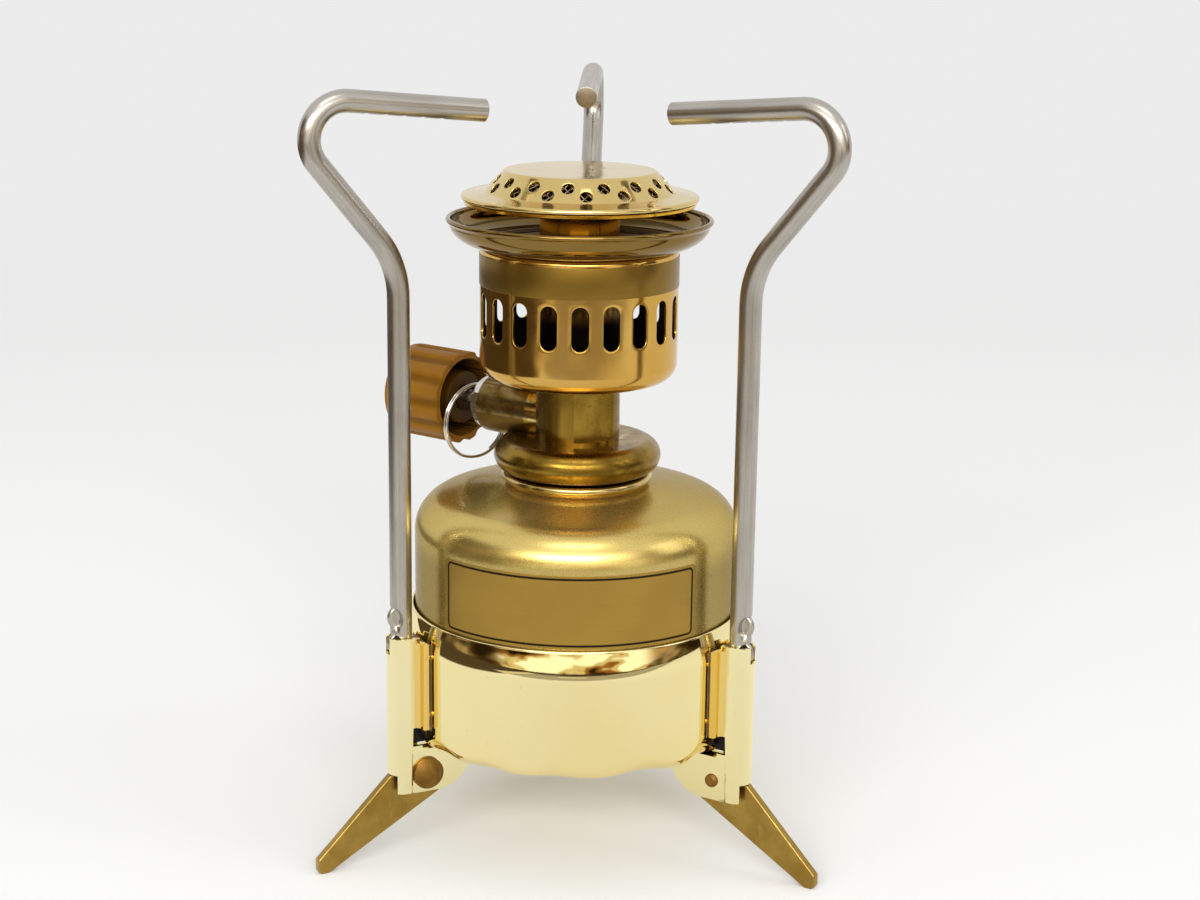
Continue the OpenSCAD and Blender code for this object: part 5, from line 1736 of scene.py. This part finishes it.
@dataclass
class Control:
    """Valve body, gland nut, spindle, knob and hang ring."""

    azimuth: float = 146.3
    axis_z: float = 120.4
    knob_x: float = 40.1
    knob_l: float = 19.7
    knob_r: float = 13.2
    skirt: float = 2.1
    hollow: float = 14.0
    hub_r: float = 7.5
    hub_back: float = 0.4
    bore: float = 3.62
    bore_l: float = 16.7
    grooves: int = 12
    groove_r: float = 3.0
    groove_depth: float = 0.9
    groove_end: float = 2.0
    edge: float = 1.2
    ring_x: float = 36.35
    ring_r: float = 10.6
    ring_drop: float = 6.25
    ring_turn: float = -14.0
    wire: float = 0.45

    def build(self) -> None:
        """Builds the valve and what moves on it."""
        valve = eased_copy("valve_body", "valve_body_turned", VALVE_BRASS, 0.3, 3)
        fit(valve, "burner", "valve_body")
        fit(eased_copy("gland_nut", "gland_nut_turned", GLAND_NICKEL, 0.25, 3), "burner", "gland_nut")
        fit(eased_copy("spindle", "spindle_turned", SPINDLE_STEEL, 0.15), "control", "spindle")
        self.knob()
        self.ring()
        dress("valve_seal", SEAL_RUBBER)
        dress("spindle_o_ring", SEAL_RUBBER)
        dress("probe_pin", SPINDLE_STEEL)

    def axis(self) -> Matrix:
        """Takes the Z axis to the spindle's, at the burner's middle."""
        turn = Matrix.Rotation(math.radians(self.azimuth), 4, "Z")
        lay = Matrix.Rotation(math.radians(90.0), 4, "Y")
        return turn @ Matrix.Translation((0.0, 0.0, self.axis_z)) @ lay

    def outline(self, angle: float, depth: float) -> float:
        """Radius of the fluted knob.

        Args:
            angle: Angle round the knob in degrees.
            depth: Share of the grooves' full depth.

        Returns:
            The radius in millimetres.
        """
        pitch = 360.0 / self.grooves
        off = math.radians((angle + pitch / 2) % pitch - pitch / 2)
        at = self.knob_r + self.groove_r - self.groove_depth * depth
        inside = self.groove_r**2 - (at * math.sin(off)) ** 2
        if inside <= 0.0:
            return self.knob_r
        cut = at * math.cos(off) - math.sqrt(inside)
        soft = 0.10
        return self.knob_r - soft * math.log(1.0 + math.exp((self.knob_r - cut) / soft))

    def knob(self) -> None:
        """The moulded knob: fluted skirt, hollow back and a hub on the spindle."""
        shape = Shape()
        angles = stations(360)

        def ring(height: float, depth: float, inset: float) -> list[int]:
            """A loop of the fluted outside, with the grooves' depth kept for the finish's painted highlight on the
            ridges and painted shade in the grooves.
            """
            reach = [self.outline(a, depth) for a in angles]
            marks = [(0.0, (self.knob_r - r) / self.groove_depth, 0.0) for r in reach]
            return shape.loop([turn_point(r - inset, a, height) for r, a in zip(reach, angles)], marks)

        def plain(radius: float, height: float) -> list[int]:
            """A round loop."""
            return shape.loop([turn_point(radius, a, height) for a in angles])

        lip = 0.35
        loops = [plain(self.knob_r - self.skirt, self.skirt * 0.2), plain(self.knob_r - self.skirt + 0.2, 0.0)]
        loops += [ring(0.0, 1.0, lip), ring(lip * 0.3, 1.0, lip * 0.3), ring(lip, 1.0, 0.0)]
        end = self.knob_l - self.groove_end
        loops += [ring(end * k / 6, 1.0, 0.0) for k in range(1, 6)]
        for k in range(7):
            share = k / 6
            loops.append(ring(end - 1.4 + 1.4 * share, 1.0 - share**2, 0.0))
        middle = self.knob_l - self.edge
        for k in range(7):
            a = math.pi / 2 * k / 6
            loops.append(plain(self.knob_r - self.edge + self.edge * math.cos(a), middle + self.edge * math.sin(a)))
        loops += [plain(9.0, self.knob_l), plain(8.4, self.knob_l - lip), plain(4.0, self.knob_l - lip)]
        shape.skin(loops)
        shape.fan(loops[-1], (0.0, 0.0, self.knob_l - lip))
        back = rounded([(self.knob_r - self.skirt, self.skirt * 0.2), (self.knob_r - self.skirt, self.hollow),
                        (self.hub_r, self.hollow), (self.hub_r, self.hub_back), (self.bore, self.hub_back),
                        (self.bore, self.bore_l), (0.0, self.bore_l)], 0.35, 3, False)
        outside = len(shape.points)
        shape.revolve(back, angles, closed=False)
        # The hollow back gets painted shade
        shape.run[outside:] = [SHADED_INNER] * (len(shape.points) - outside)
        shape.place(self.axis() @ Matrix.Translation((0.0, 0.0, self.knob_x)))
        fit(shape.build("knob_moulded", KNOB_PLASTIC, weld=1e-3), "control", "knob")

    def ring(self) -> None:
        """The split ring: two turns of wire that step from one side to the other."""
        shape = Shape()
        loops = []
        first, last = 30.0, 690.0
        count = 260
        for i in range(count + 1):
            turn = first + (last - first) * i / count
            share = smooth(min(1.0, max(0.0, (turn - 330.0) / 60.0)))
            aside = self.wire * (2 * share - 1)
            a = math.radians(turn)
            radius = self.wire * (0.8 if i in (0, count) else 1.0)
            out = Vector((math.cos(a), math.sin(a), 0.0))
            points = []
            for k in range(12):
                b = 2 * math.pi * k / 12
                lift = Vector((0.0, 0.0, aside + radius * math.sin(b)))
                points.append(tuple(out * (self.ring_r + radius * math.cos(b)) + lift))
            loops.append(shape.loop(points))
        shape.skin(loops, capped=True)
        hang = Matrix.Rotation(math.radians(self.azimuth), 4, "Z")
        hang = hang @ Matrix.Translation((self.ring_x, 0.0, self.axis_z - self.ring_drop))
        hang = hang @ Matrix.Rotation(math.radians(self.ring_turn), 4, "Z")
        shape.place(hang @ Matrix.Rotation(math.radians(90.0), 4, "Y"))
        fit(shape.build("hang_ring_wire", WIRE_STEEL, weld=1e-5), "ring", "hang_ring")


# Studio


@dataclass
class Studio:
    """Pale floor, soft lamps, grey cards for the metal to mirror, and the camera."""

    floor_size: float = 30.0
    floor_colour: Colour = (0.86, 0.86, 0.855)
    backdrop: Colour = (0.84, 0.84, 0.84)
    fill: float = 0.70
    floor_near: float = 0.35
    floor_far: float = 1.4
    room_r: float = 1.6
    room_h: float = 1.15
    room_steps: int = 48
    camera_at: Point = (0.02937, -0.6005, 0.26232)
    pitch: float = 14.102
    yaw: float = 0.599
    roll: float = 0.801
    turn: float = 2.8
    lens: float = 67.1

    def build(self) -> None:
        """Sets the view, the world, the floor, the lamps and the camera."""
        bpy.context.scene.view_settings.view_transform = "Standard"
        self.world()
        self.floor()
        self.lamps()
        self.cards()
        self.camera()

    def world(self) -> None:
        """White to the eye, in mirrors and through glass; softer as light."""
        world = bpy.data.worlds.new("studio")
        bpy.context.scene.world = world
        graph = Graph(world)
        kinds = ("Camera", "Glossy", "Transmission")
        rays = [graph.node("ShaderNodeLightPath", out=f"Is {kind} Ray") for kind in kinds]
        seen = rays[0].at_least(rays[1]).at_least(rays[2])
        light = graph.node("ShaderNodeBackground", None, {"Color": (self.fill,) * 3})
        shown = graph.node("ShaderNodeBackground", None, {"Color": self.backdrop})
        both = graph.node("ShaderNodeMixShader", None, {0: seen, 1: light, 2: shown})
        graph.show(both, "ShaderNodeOutputWorld")

    @staticmethod
    def quad(name: str, x: Flat, y: Flat, z: float) -> bpy.types.Mesh:
        """A flat level card.

        Args:
            name: Name of the mesh.
            x: Its reach along X in metres.
            y: Its reach along Y in metres.
            z: Its height in metres.

        Returns:
            The mesh.
        """
        mesh = bpy.data.meshes.new(name)
        mesh.from_pydata([(x[0], y[0], z), (x[1], y[0], z), (x[1], y[1], z), (x[0], y[1], z)], [], [(0, 1, 2, 3)])
        return mesh

    def floor(self) -> None:
        """A wide matt floor that runs out into the backdrop's tone."""
        graph = Graph.named("floor_paper")
        place = graph.place()
        x, y, _ = graph.parts(place)
        far = ((x * x + y * y) ** 0.5).step(self.floor_near, self.floor_far)
        tooth = graph.noise(place, 900.0, 3.0)
        base = graph.blend(tooth * 0.08, self.floor_colour, (0.82, 0.82, 0.81))
        paper = graph.node("ShaderNodeBsdfDiffuse", None, {"Color": base, "Roughness": 0.5})
        glow = graph.node("ShaderNodeEmission", None, {"Color": self.backdrop, "Strength": 1.0})
        graph.show(graph.node("ShaderNodeMixShader", None, {0: far, 1: paper, 2: glow}))
        half = self.floor_size / 2
        mesh = self.quad("floor", (-half, half), (-half, half), 0.0)
        mesh.materials.append(graph.owner)
        self._stage("floor", mesh)

    @staticmethod
    def _stage(name: str, mesh: bpy.types.Mesh) -> bpy.types.Object:
        """Links a stage object."""
        made = bpy.data.objects.new(name, mesh)
        bpy.context.scene.collection.objects.link(made)
        return made

    def lamp(self, name: str, at: Point, size: Flat, power: float, mirrored: bool = True) -> None:
        """Adds a soft box that faces the object.

        Args:
            name: Name of the lamp.
            at: Its place in metres.
            size: Its width and height in metres.
            power: Watts.
            mirrored: Whether polished metal shows it.
        """
        data = bpy.data.lights.new(name, "AREA")
        data.shape = "RECTANGLE"
        data.size, data.size_y = size
        data.energy = power
        made = bpy.data.objects.new(name, data)
        made.location = at
        made.rotation_euler = (Vector(AIM) - Vector(at)).to_track_quat("-Z", "Y").to_euler()
        made.visible_glossy = mirrored
        bpy.context.scene.collection.objects.link(made)

    def lamps(self) -> None:
        """A large box overhead, a window strip behind the camera and a softer box at the right."""
        self.lamp("overhead", (0.0, 0.15, 1.5), (1.3, 1.0), 3.0, mirrored=False)
        self.lamp("window", (-0.1, -1.45, 0.84), (1.7, 0.34), 13.0)
        self.lamp("right", (1.3, -0.3, 0.8), (0.5, 0.7), 2.0)

    def mirror_only(
        self, name: str, mesh: bpy.types.Mesh, graph: Graph, glow: Input, strength: float = 1.0
    ) -> None:
        """Adds a glowing card that only polished metal shows.

        Args:
            name: Name of the card.
            mesh: Its mesh.
            graph: Graph of its material.
            glow: What the metal sees there.
            strength: Brightness of the glow.
        """
        graph.show(graph.node("ShaderNodeEmission", None, {"Color": glow, "Strength": strength}))
        mesh.materials.append(graph.owner)
        made = self._stage(name, mesh)
        made.visible_camera = False
        made.visible_diffuse = False
        made.visible_shadow = False
        made.visible_transmission = False

    def floor_card(self, name: str, x: Flat, y: Flat, glow: Colour, z: float = 0.002) -> None:
        """Adds a dim card just over the floor.

        Args:
            name: Name of the card.
            x: Its reach along X in metres.
            y: Its reach along Y in metres.
            glow: What the metal sees there.
            z: Its height in metres.
        """
        graph = Graph.named(name)
        tone = graph.noise(graph.place(), 3.0, 2.0)
        seen = graph.blend(tone, glow, tuple(c * 0.8 for c in glow))
        self.mirror_only(name, self.quad(name, x, y, z), graph, seen)

    def room(self) -> None:
        """The half-round wall of a dim room behind the camera, with lit patches."""
        radius, height, steps = self.room_r, self.room_h, self.room_steps
        points, flat, faces = [], [], []
        for k in range(steps + 1):
            a = math.radians(-190.0 + 200.0 * k / steps)
            for z in (0.0, height):
                points.append((radius * math.cos(a), radius * math.sin(a), z))
                flat.append((radius * a, z, 0.0))
        for k in range(steps):
            faces.append((2 * k, 2 * k + 2, 2 * k + 3, 2 * k + 1))
        mesh = bpy.data.meshes.new("room_wall")
        mesh.from_pydata(points, [], faces)
        layer = mesh.attributes.new("run", "FLOAT_VECTOR", "POINT")
        layer.data.foreach_set("vector", [c for p in flat for c in p])
        graph = Graph.named("room_wall")
        run = graph.attribute("run")
        patch = graph.noise(graph.stretch(run, (0.8, 1.9, 1.0)), 1.0, 3.0, 0.55)
        glow = graph.blend(patch.step(0.42, 0.47), (0.012, 0.008, 0.004), (0.34, 0.14, 0.025))
        glow = graph.blend(patch.step(0.48, 0.51), glow, (0.75, 0.62, 0.34))
        glow = graph.blend(patch.step(0.53, 0.56), glow, (1.25, 1.2, 1.1))
        along, rise, _ = graph.parts(run)
        ends = 1.0 - along.step(-4.0, -3.6) * (1.0 - along.step(-1.25, -0.85))
        dim = graph.blend(patch.step(0.5, 0.62), (0.02, 0.012, 0.005), (0.42, 0.22, 0.05))
        glow = graph.blend(ends * 0.9, glow, dim)
        sill = rise.step(0.56, 0.74) * along.step(-4.0, -3.1) * (1.0 - along.step(-1.7, -0.9))
        self.mirror_only("room_wall", mesh, graph, graph.blend(sill, glow, (2.9, 2.8, 2.6)))

    def cards(self) -> None:
        """Dim surroundings for the polished metal: the table's end, its left side and the room."""
        self.floor_card("table_front", (-0.36, 1.4), (-0.95, -0.46), (0.47, 0.43, 0.375))
        self.floor_card("table_end", (-1.6, 1.4), (-2.2, -0.95), (0.05, 0.035, 0.02))
        self.floor_card("table_left", (-1.6, -0.36), (-0.95, 0.9), (0.09, 0.062, 0.034))
        self.floor_card("table_glint", (-0.50, -0.36), (-0.95, -0.42), (0.80, 0.70, 0.52), 0.003)
        self.floor_card("table_shine", (-0.10, 0.14), (-0.79, -0.705), (1.0, 0.9, 0.7), 0.003)
        self.pane("sky_pane", (0.03, -0.72, 1.5), (0.8, 0.4), 4.0)
        self.room()

    def pane(self, name: str, at: Point, size: Flat, strength: float) -> None:
        """Adds a bright pane that faces the object and that only polished metal shows.

        Args:
            name: Name of the pane.
            at: Its middle in metres.
            size: Its width and height in metres.
            strength: Brightness.
        """
        w, h = size[0] / 2, size[1] / 2
        mesh = self.quad(name, (-w, w), (-h, h), 0.0)
        face = (Vector(AIM) - Vector(at)).to_track_quat("-Z", "Y").to_matrix().to_4x4()
        face.translation = Vector(at)
        mesh.transform(face)
        self.mirror_only(name, mesh, Graph.named(name), (1.0, 0.97, 0.92), strength)

    def camera(self) -> None:
        """The camera at the photograph's place and angle."""
        pitch, yaw, roll = (math.radians(v) for v in (self.pitch, self.yaw, self.roll))
        ahead = Vector((math.sin(yaw) * math.cos(pitch), math.cos(yaw) * math.cos(pitch), -math.sin(pitch)))
        level = Vector((math.cos(yaw), -math.sin(yaw), 0.0))
        rise = level.cross(ahead)
        right = level * math.cos(roll) + rise * math.sin(roll)
        up = rise * math.cos(roll) - level * math.sin(roll)
        spin = Matrix.Rotation(math.radians(self.turn), 3, "Z")
        right, up, back = spin @ right, spin @ up, spin @ -ahead
        data = bpy.data.cameras.new("camera")
        data.sensor_fit = "HORIZONTAL"
        data.sensor_width = 36.0
        data.lens = self.lens
        data.clip_start = 0.01
        made = bpy.data.objects.new("camera", data)
        place = Matrix((right, up, back)).transposed().to_4x4()
        place.translation = Vector(self.camera_at)
        made.matrix_world = place
        bpy.context.scene.collection.objects.link(made)
        bpy.context.scene.camera = made


def main() -> None:
    """Builds each sub-assembly in order."""
    logging.basicConfig(level=logging.INFO, format="%(message)s")
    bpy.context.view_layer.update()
    Studio().build()
    StandCup().build()
    Stand().build()
    for side in SIDES:
        PotSupport(side=side).build()
    Cartridge().build()
    Control().build()
    BurnerHead().build()
    LOG.info("sizes kept")


if __name__ == "__main__":
    main()
